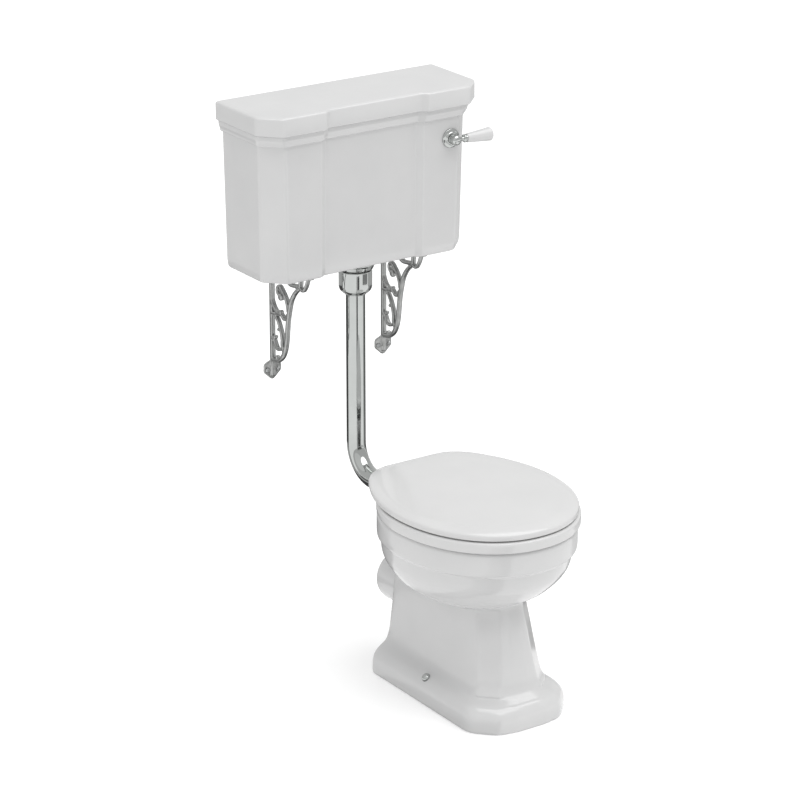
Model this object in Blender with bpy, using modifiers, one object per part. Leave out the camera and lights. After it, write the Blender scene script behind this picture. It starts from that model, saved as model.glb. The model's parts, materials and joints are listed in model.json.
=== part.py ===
"""Low-level WC suite: a pedestal pan with seat and lid, a bent flush pipe and a cistern on two wall brackets.

The origin is on the floor, on the centre line, in the middle of the sole strip at the back of the pan's
foot. +Z is up, the wall is at +Y and +X is on the right of someone who faces the suite.
"""

import math

import bmesh
import bpy
from mathutils import Matrix, Vector

MM = 0.001
GAP = 0.3 * MM  # between pieces that touch
MERGE = 0.00001

# Where the suite stands
SOLE = 20 * MM  # width of the strip that the foot stands on
PAN_BACK = SOLE / 2
PAN_TO_WALL = 320 * MM
WALL = PAN_BACK + PAN_TO_WALL

# Pan
RIM_TOP = 375 * MM
RIM_HALF_WIDTH = 178 * MM
RIM_FRONT = 217 * MM  # from the bowl's widest line forwards
RIM_REAR = 190 * MM
BOWL_BACK_TO_WIDEST = 187 * MM
BOWL_Y = PAN_BACK - BOWL_BACK_TO_WIDEST
RIM_BAND = 50 * MM
BOWL_WALL = 13 * MM
OPENING_HALF_WIDTH = 125 * MM
DECK_HALF_WIDTH = 80 * MM
DECK_OVERHANG = 18 * MM
DECK_THICK = 34 * MM
DECK_BACK = PAN_BACK + DECK_OVERHANG
FOOT_HALF_WIDTH = 113 * MM
FOOT_LENGTH = 374 * MM  # to the corners of the bowed front
FOOT_BOW = 7 * MM
FOOT_CHAMFER = 32 * MM
FOOT_WALL = 14 * MM
PLINTH_HEIGHT = 60 * MM
SPIGOT_RADIUS = 52 * MM
SPIGOT_BORE = 43 * MM
SPIGOT_HEIGHT = 158 * MM
SPIGOT_REACH = 71 * MM  # behind the foot
TRAP_BORE = 31 * MM
TRAP_WALL = 8 * MM
HORN_RADIUS = 28 * MM
HORN_BORE = 22 * MM
HORN_HEIGHT = 328 * MM
HORN_REACH = 34 * MM  # behind the deck

# Fixings through the plinth's shoulder
FLOOR_SCREW_RADIUS = 3.5 * MM
FLOOR_SCREW_FROM_BACK = 172 * MM
FLOOR_SCREW_TILT = 45
FLOOR_SCREW_LENGTH = 52 * MM
CAP_RADIUS = 9 * MM

# Seat
SEAT_HALF_WIDTH = 183 * MM
SEAT_FRONT = 223 * MM
SEAT_GAP = 1.8 * MM  # over the rim
RING_THICK = 21.4 * MM
RING_BACK_HALF_WIDTH = 139 * MM
RING_OPENING_HALF_WIDTH = 106 * MM
RING_OPENING_FRONT = 148 * MM
RING_OPENING_REAR = 118 * MM
LID_GAP = 1.5 * MM  # over the ring
LID_THICK = 19 * MM
LID_CROWN = 6 * MM
LID_INSET = 4 * MM
LID_BACK_HALF_WIDTH = 128 * MM
LID_OVERHANG = 16 * MM  # behind the hinge rod
BUFFER_RADIUS = 7 * MM

# Seat hinge
STUD_SPACING = 145 * MM
STUD_FROM_DECK_BACK = 18 * MM
STUD_RADIUS = 4 * MM
STUD_DROP = 58 * MM
ROD_RADIUS = 4 * MM
ROD_BEHIND_STUD = 14 * MM
ROD_HEIGHT = 13 * MM  # over the deck
KNUCKLE_RADIUS = 6.5 * MM
PILLAR_WIDTH = 18 * MM
RING_KNUCKLE = 10 * MM
LID_KNUCKLE = 9 * MM

# Flush pipe
PIPE_RADIUS = 19 * MM
PIPE_WALL = 1.5 * MM
PIPE_FROM_WALL = 102 * MM
PIPE_BEND = 62 * MM
PIPE_INTO_TAIL = 34 * MM
NUT_RADIUS = 33 * MM
NUT_HEIGHT = 50 * MM
BACK_NUT_RADIUS = 41 * MM
BACK_NUT_HEIGHT = 15 * MM

# Cistern
CISTERN_BOTTOM = 766 * MM
BODY_HEIGHT = 274 * MM  # up to the moulding
MOULDING_HEIGHT = 23 * MM
BODY_WIDTH = 470 * MM  # under the moulding
BODY_DEPTH = 167 * MM
BODY_TAPER = 5 * MM  # narrower by this at each side of the bottom
MOULDING_STEP = 6.5 * MM
CHAMFER = 37 * MM
PANEL_HALF_WIDTH = 110 * MM
PANEL_RECESS = 7 * MM
CISTERN_WALL = 8 * MM
LID_SKIRT = 38 * MM
LID_OVER = 8.5 * MM  # how far the cistern lid stands out from the moulding's top
LID_RECESS = 10 * MM
LID_SHELL = 11 * MM

# Brackets
BRACKET_SPACING = 262 * MM
BRACKET_WIDTH = 12 * MM
BRACKET_DROP = 228 * MM  # from the cistern down to the middle of the shield
BRACKET_REACH = 128 * MM
SHIELD_HALF_WIDTH = 20 * MM
SHIELD_HOLE = 2.6 * MM
SHIELD_HOLE_SPACING = 26 * MM

# Siphon
TAIL_RADIUS = 24 * MM
TAIL_BORE = 20.5 * MM
TAIL_DROP = 46 * MM  # below the cistern
BELL_RADIUS = 42 * MM
BELL_X = 82 * MM
BELL_HEIGHT = 116 * MM
BELL_LIFT = 8 * MM  # over the cistern's floor
UP_LEG_X = 60 * MM
SIPHON_TOP = 192 * MM  # from the cistern's floor to the centre of the bend
LIFT_ROD_X = 92 * MM
LIFT_ROD_RADIUS = 2.5 * MM

# Lever
LEVER_X = 179 * MM
LEVER_FROM_TOP = 65 * MM  # below the body's top
ROSE_RADIUS = 19.5 * MM
ROSE_THICK = 7 * MM
BUSH_RADIUS = 7.5 * MM
HUB_RADIUS = 10.5 * MM
HUB_LENGTH = 20 * MM
SPINDLE_RADIUS = 4 * MM
HANDLE_LENGTH = 58 * MM
HANDLE_SMALL = 8.8 * MM
HANDLE_BIG = 13.6 * MM
ARM_HEIGHT = 10 * MM
ARM_THICK = 4 * MM

# Float valve
VALVE_X = 190 * MM
VALVE_FROM_WALL = 40 * MM
VALVE_RADIUS = 11 * MM
VALVE_TAIL = 9.8 * MM
VALVE_TAIL_DROP = 42 * MM
VALVE_HEIGHT = 186 * MM
FLOAT_RADIUS = 48 * MM
FLOAT_X = -106 * MM
FLOAT_FROM_WALL = 86 * MM

# Planes that several pieces share
DECK_TOP = RIM_TOP
RING_BOTTOM = RIM_TOP + SEAT_GAP
RING_TOP = RING_BOTTOM + RING_THICK
SEAT_LID_BOTTOM = RING_TOP + LID_GAP
STUD_Y = DECK_BACK - STUD_FROM_DECK_BACK
ROD_Y = STUD_Y + ROD_BEHIND_STUD
ROD_Z = DECK_TOP + ROD_HEIGHT
RING_BACK = STUD_Y - 16 * MM
PIPE_Y = WALL - PIPE_FROM_WALL
FLOOR_OF_CISTERN = CISTERN_BOTTOM + CISTERN_WALL
BODY_TOP = CISTERN_BOTTOM + BODY_HEIGHT + MOULDING_HEIGHT
MOULDING_BOTTOM = CISTERN_BOTTOM + BODY_HEIGHT
LEVER_Z = BODY_TOP - LEVER_FROM_TOP
HORN_END = DECK_BACK + HORN_REACH


def material(name, colour, roughness, metallic=0.0):
    made = bpy.data.materials.get(name)
    if made is None:
        made = bpy.data.materials.new(name)
        made.use_nodes = True
        shader = made.node_tree.nodes["Principled BSDF"]
        shader.inputs["Base Color"].default_value = (*colour, 1)
        shader.inputs["Roughness"].default_value = roughness
        shader.inputs["Metallic"].default_value = metallic
        made.diffuse_color = (*colour, 1)
    return made


def china():
    return material("white china", (0.86, 0.86, 0.85), 0.08)


def lacquer():
    return material("white seat lacquer", (0.87, 0.87, 0.86), 0.15)


def chrome():
    return material("chrome", (0.78, 0.79, 0.8), 0.08, 1)


def satin_metal():
    return material("satin bracket metal", (0.6, 0.6, 0.6), 0.35, 1)


def rubber():
    return material("grey rubber", (0.12, 0.12, 0.12), 0.7)


def white_rubber():
    return material("white rubber", (0.75, 0.75, 0.73), 0.6)


def polymer():
    return material("white polymer", (0.8, 0.8, 0.78), 0.4)


def steel():
    return material("zinc plated steel", (0.62, 0.62, 0.6), 0.3, 1)


def brass():
    return material("brass", (0.72, 0.55, 0.25), 0.3, 1)


def add_piece(name, mesh, finish):
    piece = bpy.data.objects.new(name, mesh)
    suite.objects.link(piece)
    mesh.materials.append(finish)
    return piece


def place(piece, at, along=(0, 0, 1)):
    """Moves the piece's origin to a point and turns its own Z axis along a direction."""
    turn = Vector((0, 0, 1)).rotation_difference(Vector(along))
    piece.matrix_world = Matrix.Translation(Vector(at)) @ turn.to_matrix().to_4x4()
    return piece


def set_aside(helper):
    """Makes an object a cutter or an operand: drawn as wire, left out of the render."""
    if helper.name in suite.objects:
        suite.objects.unlink(helper)
        cutters.objects.link(helper)
    helper.hide_render = True
    helper.display_type = "WIRE"


def combine(target, other, operation):
    modifier = target.modifiers.new(operation.title() + " " + other.name, "BOOLEAN")
    modifier.operation = operation
    modifier.object = other
    set_aside(other)
    return target


def cut(target, *others):
    for other in others:
        combine(target, other, "DIFFERENCE")
    return target


def join(target, *others):
    for other in others:
        combine(target, other, "UNION")
    return target


def soften(piece, width, segments=2, angle=40):
    bevel = piece.modifiers.new("Soft edges", "BEVEL")
    bevel.width = width
    bevel.segments = segments
    bevel.limit_method = "ANGLE"
    bevel.angle_limit = math.radians(angle)
    return piece


def mesh_from(shape):
    mesh = bpy.data.meshes.new("shape")
    shape.to_mesh(mesh)
    shape.free()
    return mesh


def smooth(piece, angle=35):
    piece.data.shade_smooth()
    piece.data.set_sharp_from_angle(angle=math.radians(angle))
    return piece


def box(name, low, high, finish, bevel=0):
    """A block between two corners, its origin at its centre."""
    low, high = Vector(low), Vector(high)
    shape = bmesh.new()
    bmesh.ops.create_cube(shape, size=1)
    bmesh.ops.scale(shape, vec=high - low, verts=shape.verts)
    piece = add_piece(name, mesh_from(shape), finish)
    place(piece, (low + high) / 2)
    if bevel:
        soften(piece, bevel, 1)
    return piece


def rod(name, start, end, radius, finish, sides=24):
    """A round bar between two points, its origin at its middle."""
    start, end = Vector(start), Vector(end)
    shape = bmesh.new()
    length = (end - start).length
    bmesh.ops.create_cone(
        shape, cap_ends=True, segments=sides, radius1=radius, radius2=radius, depth=length
    )
    piece = add_piece(name, mesh_from(shape), finish)
    place(piece, (start + end) / 2, end - start)
    return smooth(piece)


def ball(name, centre, radius, finish, sides=24):
    shape = bmesh.new()
    bmesh.ops.create_uvsphere(shape, u_segments=sides, v_segments=sides // 2, radius=radius)
    piece = add_piece(name, mesh_from(shape), finish)
    place(piece, centre)
    piece.data.shade_smooth()
    return piece


def turned(name, profile, finish, at=(0, 0, 0), along=(0, 0, 1), steps=24, ring=False):
    """A profile of (radius, height) turned about the piece's Z axis. It runs down the outer side; a ring's
    profile closes on itself and keeps off the axis."""
    mesh = bpy.data.meshes.new(name)
    edges = [(i, i + 1) for i in range(len(profile) - 1)]
    if ring:
        edges.append((len(profile) - 1, 0))
    mesh.from_pydata([(radius, 0, height) for radius, height in profile], edges, [])
    piece = add_piece(name, mesh, finish)
    screw = piece.modifiers.new("Turn", "SCREW")
    screw.steps = screw.render_steps = steps
    screw.use_merge_vertices = True
    screw.merge_threshold = MERGE
    screw.use_smooth_shade = True
    return place(piece, at, along)


def collar(name, outer, inner, low, high, finish, at, along=(0, 0, 1), steps=24):
    """A plain ring between two heights along its axis."""
    profile = [(outer, high), (outer, low), (inner, low), (inner, high)]
    return turned(name, profile, finish, at, along, steps, ring=True)


def hex_nut(name, radius, bore, low, high, finish, at, along=(0, 0, 1)):
    nut = turned(name, [(0, high), (radius, high), (radius, low), (0, low)], finish, at, along, 6)
    nut.modifiers["Turn"].use_smooth_shade = False
    way = Vector(along)
    return cut(nut, rod("bore", Vector(at) + way * (low - 5 * MM), Vector(at) + way * (high + 5 * MM), bore, finish, 20))


def loft(name, sections, finish, sharp=35):
    """A closed solid through outlines with the same number of points, each a list of (x, y, z), bottom first."""
    shape = bmesh.new()
    rings = [[shape.verts.new(point) for point in section] for section in sections]
    count = len(rings[0])
    for lower, upper in zip(rings, rings[1:]):
        for i in range(count):
            j = (i + 1) % count
            shape.faces.new((lower[i], lower[j], upper[j], upper[i]))
    shape.faces.new(list(reversed(rings[0])))
    shape.faces.new(rings[-1])
    bmesh.ops.recalc_face_normals(shape, faces=shape.faces)
    return smooth(add_piece(name, mesh_from(shape), finish), sharp)


def tube(name, points, radius, finish, sides=8, ends=None):
    """A bar along a smooth route through the points, as a mesh. `ends` gives its radius at both ends as a
    share of the middle's."""
    curve = bpy.data.curves.new(name, "CURVE")
    curve.dimensions = "3D"
    curve.bevel_depth = radius
    curve.bevel_resolution = (sides - 4) // 2
    curve.use_fill_caps = True
    spline = curve.splines.new("POLY")
    spline.points.add(len(points) - 1)
    for i, (point, place_on) in enumerate(zip(points, spline.points)):
        place_on.co = (*point, 1)
        if ends:
            share = i / (len(points) - 1)
            place_on.radius = ends[0] + (ends[1] - ends[0]) * share
    return mesh_of_curve(name, curve, finish)


def mesh_of_curve(name, curve, finish):
    drawn = bpy.data.objects.new(name + " route", curve)
    suite.objects.link(drawn)
    graph = bpy.context.evaluated_depsgraph_get()
    mesh = bpy.data.meshes.new_from_object(drawn.evaluated_get(graph))
    bpy.data.objects.remove(drawn)
    shape = bmesh.new()
    shape.from_mesh(mesh)
    bmesh.ops.remove_doubles(shape, verts=shape.verts, dist=MERGE)
    bmesh.ops.recalc_face_normals(shape, faces=shape.faces)
    shape.to_mesh(mesh)
    shape.free()
    return smooth(add_piece(name, mesh, finish))


def plate(name, outlines, low, high, finish):
    """A flat piece between two heights: the first outline, less the others."""
    curve = bpy.data.curves.new(name, "CURVE")
    curve.dimensions = "2D"
    curve.fill_mode = "BOTH"
    curve.extrude = (high - low) / 2
    for outline in outlines:
        spline = curve.splines.new("POLY")
        spline.points.add(len(outline) - 1)
        spline.use_cyclic_u = True
        for (x, y), place_on in zip(outline, spline.points):
            place_on.co = (x, y, 0, 1)
    piece = mesh_of_curve(name, curve, finish)
    piece.data.transform(Matrix.Translation((0, 0, (low + high) / 2)))
    return piece


def through(points, per_span=4):
    """A smooth route (Catmull-Rom) through a few points."""
    points = [Vector(point) for point in points]
    ghosts = [2 * points[0] - points[1], *points, 2 * points[-1] - points[-2]]
    route = []
    for a, b, c, d in zip(ghosts, ghosts[1:], ghosts[2:], ghosts[3:]):
        for k in range(per_span):
            t = k / per_span
            route.append(
                0.5
                * (
                    2 * b
                    + (c - a) * t
                    + (2 * a - 5 * b + 4 * c - d) * t * t
                    + (3 * b - a - 3 * c + d) * t**3
                )
            )
    return [*route, points[-1]]


def rounded(corners, chords=3):
    """An outline through corners (x, y, radius), each rounded by a short curve."""
    outline = []
    for i, (x, y, radius) in enumerate(corners):
        here = Vector((x, y))
        before = Vector(corners[i - 1][:2]) - here
        after = Vector(corners[(i + 1) % len(corners)][:2]) - here
        half = before.angle(after) / 2
        reach = min(radius / math.tan(half), 0.45 * before.length, 0.45 * after.length)
        start = here + before.normalized() * reach
        end = here + after.normalized() * reach
        for k in range(chords + 1):
            t = k / chords
            outline.append(start * (1 - t) ** 2 + here * 2 * t * (1 - t) + end * t * t)
    return outline


def mirrored(half):
    """A whole outline of corners from its +X half, which runs from the front to the back."""
    return [*half, *((-x, y, radius) for x, y, radius in reversed(half))]


def at_height(outline, height):
    return [(x, y, height) for x, y in outline]


def egg(half_width, front, rear, centre_y, count=32, power=2.1):
    """A closed oval outline that can be longer in front of its widest line than behind it."""
    outline = []
    for i in range(count):
        turn = 2 * math.pi * i / count
        across, along = math.cos(turn), math.sin(turn)
        x = half_width * math.copysign(abs(across) ** (2 / power), across)
        reach = rear if along > 0 else front
        y = centre_y + reach * math.copysign(abs(along) ** (2 / power), along)
        outline.append((x, y))
    return outline


def seat_outline(inset, back, back_half_width, count=20):
    """The seat's plan: a half oval in front, sides that draw in towards a straight back edge."""
    width = SEAT_HALF_WIDTH - inset
    front = SEAT_FRONT - inset
    back = back - inset
    narrow = back_half_width - inset
    corner = 30 * MM
    outline = []
    for i in range(count + 1):
        turn = math.pi + math.pi * i / count
        across, along = math.cos(turn), math.sin(turn)
        x = width * math.copysign(abs(across) ** (2 / 2.1), across)
        outline.append((x, BOWL_Y + front * math.copysign(abs(along) ** (2 / 2.1), along)))
    straight = back - corner - BOWL_Y
    side = [
        (width - (width - narrow) * t**2, BOWL_Y + straight * t) for t in (0.2, 0.4, 0.6, 0.8, 1)
    ]
    turn_in = [
        (narrow - corner * (1 - math.cos(a)), back - corner * (1 - math.sin(a)))
        for a in (0.4, 0.8, 1.2, math.pi / 2)
    ]
    right = [*side, *turn_in]
    return [*outline, *right, *((-x, y) for x, y in reversed(right))]


def bowl_outline(share, centre_shift=0.0):
    return egg(
        RIM_HALF_WIDTH * share, RIM_FRONT * share, RIM_REAR * share, BOWL_Y + centre_shift
    )


def bowl_outside():
    """The rim band, a small crease under it, and the round bowl down to the neck."""
    band = RIM_TOP - RIM_BAND
    depths = [
        (0, 0.985),
        (4, 1.0),
        (RIM_BAND / MM - 16, 1.0),
        (RIM_BAND / MM - 5, 0.99),
        (RIM_BAND / MM, 0.972),
    ]
    under = [(8, 0.965), (36, 0.925), (64, 0.83), (88, 0.7), (116, 0.42)]
    sections = [at_height(bowl_outline(share), RIM_TOP - depth * MM) for depth, share in depths]
    for depth, share in under:
        shift = 12 * MM * (depth / 116)
        sections.append(at_height(bowl_outline(share, shift), band - depth * MM))
    return loft("pan", sections[::-1], china())


def bowl_inside():
    """The space in the bowl: a narrower mouth under the rim, then a funnel down to the sump."""
    mouth = OPENING_HALF_WIDTH / RIM_HALF_WIDTH
    wide = 1 - (BOWL_WALL + 12 * MM) / RIM_HALF_WIDTH
    depths = [
        (-2, mouth + 0.02),
        (6, mouth),
        (44, mouth + 0.01),
        (54, wide - 0.04),
        (96, wide - 0.12),
        (130, wide - 0.32),
        (164, wide - 0.58),
        (212, wide - 0.66),
    ]
    sections = [
        at_height(bowl_outline(share, 4 * MM), RIM_TOP - depth * MM) for depth, share in depths
    ]
    return loft("bowl space", sections[::-1], china())


def foot_outline(inset, front_inset, chamfer, bow, back):
    width = FOOT_HALF_WIDTH - inset
    front = PAN_BACK - FOOT_LENGTH + front_inset
    half = [
        (0.45 * (width - chamfer), front - bow, 30 * MM),
        (width - chamfer, front, 10 * MM),
        (width, front + chamfer, 12 * MM),
        (width, back, 13 * MM),
    ]
    return rounded(mirrored(half)[::-1], 2)


# Height of each section of the foot and pedestal, then its inset at the sides and at the front
FOOT_SECTIONS = [
    (0, 1, 1),
    (3, 0, 0),
    (30, 1, 1),
    (42, 6, 6),
    (50, 14, 14),
    (56, 24, 24),
    (PLINTH_HEIGHT / MM, 31, 30),
    (71, 36, 35),
    (100, 42, 41),
    (140, 47, 49),
    (180, 51, 57),
    (225, 55, 66),
    (318, 57, 80),
]


def pedestal_outside():
    sections = []
    for height, inset, front_inset in FOOT_SECTIONS:
        bow = FOOT_BOW if height < 50 else FOOT_BOW / 2
        outline = foot_outline(inset * MM, front_inset * MM, FOOT_CHAMFER, bow, PAN_BACK)
        sections.append(at_height(outline, height * MM))
    return loft("pedestal", sections, china())


def foot_inside():
    """The hollow of the foot, open at the floor."""
    sections = []
    for height, inset, front_inset in FOOT_SECTIONS:
        if height in (3, 30, 50, 56, 140, 225, 318):
            continue
        level = -2 if height == 0 else height
        outline = foot_outline(
            inset * MM + FOOT_WALL, front_inset * MM + FOOT_WALL, FOOT_CHAMFER, FOOT_BOW / 2, PAN_BACK - SOLE
        )
        sections.append(at_height(outline, level * MM))
    return loft("foot space", sections, china())


def trap_route():
    """Centre line of the trap: down from the sump, round under it, up over the weir and out to the spigot."""
    start = BOWL_Y - 14 * MM
    sag = 56 * MM
    weir = 46 * MM
    low, high = 122 * MM, 150 * MM
    points = [(start, 196 * MM), (start, low)]
    for k in range(1, 6):
        turn = math.pi * k / 5
        points.append((start + sag * (1 - math.cos(turn)), low - sag * math.sin(turn)))
    points.append((start + 2 * sag, high))
    for k in range(1, 4):
        turn = math.pi / 2 * k / 3
        points.append((start + 2 * sag + weir * (1 - math.cos(turn)), high + weir * math.sin(turn)))
    points += [(PAN_BACK, SPIGOT_HEIGHT + 8 * MM), (PAN_BACK + SPIGOT_REACH - 14 * MM, SPIGOT_HEIGHT)]
    return [(0, y, z) for y, z in points]


def pan():
    """The whole china pan in one piece."""
    body = bowl_outside()
    spigot_end = PAN_BACK + SPIGOT_REACH
    spigot = rod(
        "spigot", (0, PAN_BACK - 60 * MM, SPIGOT_HEIGHT), (0, spigot_end, SPIGOT_HEIGHT),
        SPIGOT_RADIUS, china(), 28,
    )
    deck_corners = [
        (DECK_HALF_WIDTH, BOWL_Y + 40 * MM, 10 * MM),
        (DECK_HALF_WIDTH, DECK_BACK, 16 * MM),
    ]
    deck = plate(
        "deck", [rounded(mirrored(deck_corners))], DECK_TOP - DECK_THICK, DECK_TOP - 0.4 * MM, china()
    )
    horn = rod(
        "horn", (0, PAN_BACK - 40 * MM, HORN_HEIGHT), (0, HORN_END, HORN_HEIGHT),
        HORN_RADIUS, china(), 24,
    )
    join(body, pedestal_outside(), spigot, deck, horn)

    hollow = foot_inside()
    trap_wall = tube("trap wall", trap_route(), TRAP_BORE + TRAP_WALL, china(), 12)
    cut(hollow, trap_wall)
    trap = tube("trap space", trap_route(), TRAP_BORE, china(), 12)
    bore = rod(
        "spigot bore", (0, PAN_BACK + 6 * MM, SPIGOT_HEIGHT), (0, spigot_end + 5 * MM, SPIGOT_HEIGHT),
        SPIGOT_BORE, china(), 24,
    )
    inlet = rod(
        "horn bore", (0, BOWL_Y + 130 * MM, HORN_HEIGHT), (0, HORN_END + 5 * MM, HORN_HEIGHT),
        HORN_BORE, china(), 20,
    )
    cut(body, hollow, bowl_inside(), trap, bore, inlet)
    for side in (-1, 1):
        x = side * STUD_SPACING / 2
        hole = rod(
            "stud hole", (x, STUD_Y, DECK_TOP - 60 * MM), (x, STUD_Y, DECK_TOP + 5 * MM),
            STUD_RADIUS + 1.5 * MM, china(), 12,
        )
        start, way = floor_screw_line(side)
        drill = rod(
            "floor screw hole", start - way * 30 * MM, start + way * 40 * MM,
            FLOOR_SCREW_RADIUS + 1.5 * MM, china(), 12,
        )
        cut(body, hole, drill)
    return body


def floor_screw_line(side):
    """Where a fixing meets the plinth's shoulder, and the way it runs into the foot."""
    tilt = math.radians(FLOOR_SCREW_TILT)
    start = Vector((side * (FOOT_HALF_WIDTH - 13.5 * MM), PAN_BACK - FLOOR_SCREW_FROM_BACK, 50.5 * MM))
    return start, Vector((-side * math.cos(tilt), 0, -math.sin(tilt)))


def floor_fixings():
    """An angled screw on each side of the plinth, under a chromed cap."""
    for side, word in ((-1, "left"), (1, "right")):
        start, way = floor_screw_line(side)
        head = start - way * 0.2 * MM
        shank = FLOOR_SCREW_RADIUS
        turned(
            "floor_screw_" + word,
            [(0, 0), (6.5 * MM, 0), (6.5 * MM, -2.5 * MM), (shank, -2.5 * MM),
             (shank, -FLOOR_SCREW_LENGTH), (0, -FLOOR_SCREW_LENGTH - 4 * MM)],
            steel(), head - way * 2.5 * MM, -way, 12,
        )
        inner = CAP_RADIUS - 1.3 * MM
        turned(
            "floor_screw_cap_" + word,
            [(0, 7 * MM), (CAP_RADIUS * 0.55, 6.2 * MM), (CAP_RADIUS * 0.88, 3.8 * MM), (CAP_RADIUS, 0.4 * MM),
             (CAP_RADIUS, -1 * MM), (inner, -1 * MM), (inner * 0.85, 3 * MM), (0, 5.2 * MM)],
            chrome(), head - way * 0.5 * MM, -way, 14,
        )


def seat_ring():
    outer = seat_outline(0, RING_BACK, RING_BACK_HALF_WIDTH)
    opening = egg(RING_OPENING_HALF_WIDTH, RING_OPENING_FRONT, RING_OPENING_REAR, BOWL_Y, 28)
    ring = plate("seat_ring", [outer, opening], RING_BOTTOM, RING_TOP, lacquer())
    soften(ring, 5 * MM, 1, 50)
    for side in (-1, 1):
        cut(ring, leaf_slot(side))
    return ring


def ring_leaf_x():
    return STUD_SPACING / 2 - PILLAR_WIDTH / 2 - 1 * MM - RING_KNUCKLE / 2


def lid_leaf_x():
    return STUD_SPACING / 2 + PILLAR_WIDTH / 2 + 1 * MM + LID_KNUCKLE / 2


LEAF_THICK = 3 * MM
LEAF_TENON = 24 * MM


def leaf_slot(side):
    x = side * ring_leaf_x()
    half = RING_KNUCKLE / 2 + GAP
    return box(
        "leaf slot",
        (x - half, RING_BACK - LEAF_TENON - GAP, ROD_Z - LEAF_THICK / 2 - GAP),
        (x + half, RING_BACK + 4 * MM, ROD_Z + LEAF_THICK / 2 + GAP),
        lacquer(),
    )


def seat_lid():
    back = ROD_Y + LID_OVERHANG
    levels = [
        (0, LID_INSET + 1.5 * MM),
        (2, LID_INSET),
        (LID_THICK / MM * 0.55, LID_INSET + 0.4 * MM),
        (LID_THICK / MM * 0.8, LID_INSET + 3 * MM),
        (LID_THICK / MM, LID_INSET + 9 * MM),
        ((LID_THICK + 0.35 * LID_CROWN) / MM, LID_INSET + 26 * MM),
        ((LID_THICK + 0.7 * LID_CROWN) / MM, LID_INSET + 52 * MM),
        ((LID_THICK + 0.95 * LID_CROWN) / MM, LID_INSET + 84 * MM),
    ]
    sections = [
        at_height(seat_outline(inset, back, LID_BACK_HALF_WIDTH + LID_INSET), SEAT_LID_BOTTOM + height * MM)
        for height, inset in levels
    ]
    return loft("seat_lid", sections, lacquer())


def hinge():
    """Pillars on the deck, the rod through them, and the leaves that the ring and the lid hang on."""
    end = lid_leaf_x() + LID_KNUCKLE / 2 + 3 * MM
    rod("hinge_rod", (-end, ROD_Y, ROD_Z), (end, ROD_Y, ROD_Z), ROD_RADIUS, chrome(), 16)
    for side, word in ((-1, "left"), (1, "right")):
        hinge_pillar(side, word)
        hinge_leaf("ring_hinge_leaf_" + word, side * ring_leaf_x(), RING_KNUCKLE, ROD_Z, RING_BACK - LEAF_TENON)
        lid_plate = SEAT_LID_BOTTOM - GAP - LEAF_THICK / 2
        hinge_leaf("lid_hinge_leaf_" + word, side * lid_leaf_x(), LID_KNUCKLE, lid_plate, ROD_Y - 26 * MM)


def hinge_pillar(side, word):
    x = side * STUD_SPACING / 2
    half = PILLAR_WIDTH / 2
    washer_top = DECK_TOP + 2 * MM
    pillar = rod("hinge_pillar_" + word, (x - half, ROD_Y, ROD_Z), (x + half, ROD_Y, ROD_Z), KNUCKLE_RADIUS, chrome())
    foot = box(
        "pillar foot",
        (x - half, STUD_Y - 12 * MM, washer_top + GAP), (x + half, ROD_Y + 2 * MM, washer_top + 5 * MM), chrome(),
    )
    join(pillar, foot)
    cut(pillar, rod("rod hole", (x - 20 * MM, ROD_Y, ROD_Z), (x + 20 * MM, ROD_Y, ROD_Z), ROD_RADIUS + GAP, chrome(), 16))
    cut(pillar, rod("stud hole", (x, STUD_Y, DECK_TOP), (x, STUD_Y, DECK_TOP + 20 * MM), STUD_RADIUS + GAP, chrome(), 12))
    collar(
        "pillar_washer_" + word, 11 * MM, STUD_RADIUS + GAP, -0.1 * MM, 2 * MM, white_rubber(), (x, STUD_Y, DECK_TOP), steps=16
    )
    low = -STUD_DROP
    turned(
        "deck_stud_" + word,
        [(0, 12 * MM), (6 * MM, 11 * MM), (6.5 * MM, 7.3 * MM), (STUD_RADIUS, 7.3 * MM), (STUD_RADIUS, low), (0, low)],
        steel(), (x, STUD_Y, DECK_TOP), steps=12,
    )
    under = -DECK_THICK - GAP
    nut = collar(
        "wing_nut_" + word, 9 * MM, STUD_RADIUS + GAP, under - 11 * MM, under, polymer(), (x, STUD_Y, DECK_TOP), steps=12
    )
    for way in (-1, 1):
        wing = box(
            "wing",
            (x + way * 11.5 * MM - 5 * MM, STUD_Y - 1.5 * MM, DECK_TOP + under - 11 * MM),
            (x + way * 11.5 * MM + 5 * MM, STUD_Y + 1.5 * MM, DECK_TOP + under - 1 * MM), polymer(),
        )
        join(nut, wing)


def hinge_leaf(name, x, width, plate_z, front):
    """A knuckle on the rod with a flat plate that runs forwards."""
    half = width / 2
    leaf = rod(name, (x - half, ROD_Y, ROD_Z), (x + half, ROD_Y, ROD_Z), KNUCKLE_RADIUS, chrome())
    tongue = box(
        "tongue",
        (x - half + 0.1 * MM, front, plate_z - LEAF_THICK / 2), (x + half - 0.1 * MM, ROD_Y, plate_z + LEAF_THICK / 2),
        chrome(),
    )
    join(leaf, tongue)
    if plate_z > ROD_Z + KNUCKLE_RADIUS:
        neck = box("neck", (x - half + 0.2 * MM, ROD_Y - 5 * MM, ROD_Z), (x + half - 0.2 * MM, ROD_Y + 5 * MM, plate_z), chrome())
        join(leaf, neck)
    return cut(leaf, rod("rod hole", (x - 20 * MM, ROD_Y, ROD_Z), (x + 20 * MM, ROD_Y, ROD_Z), ROD_RADIUS + GAP, chrome(), 16))


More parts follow.
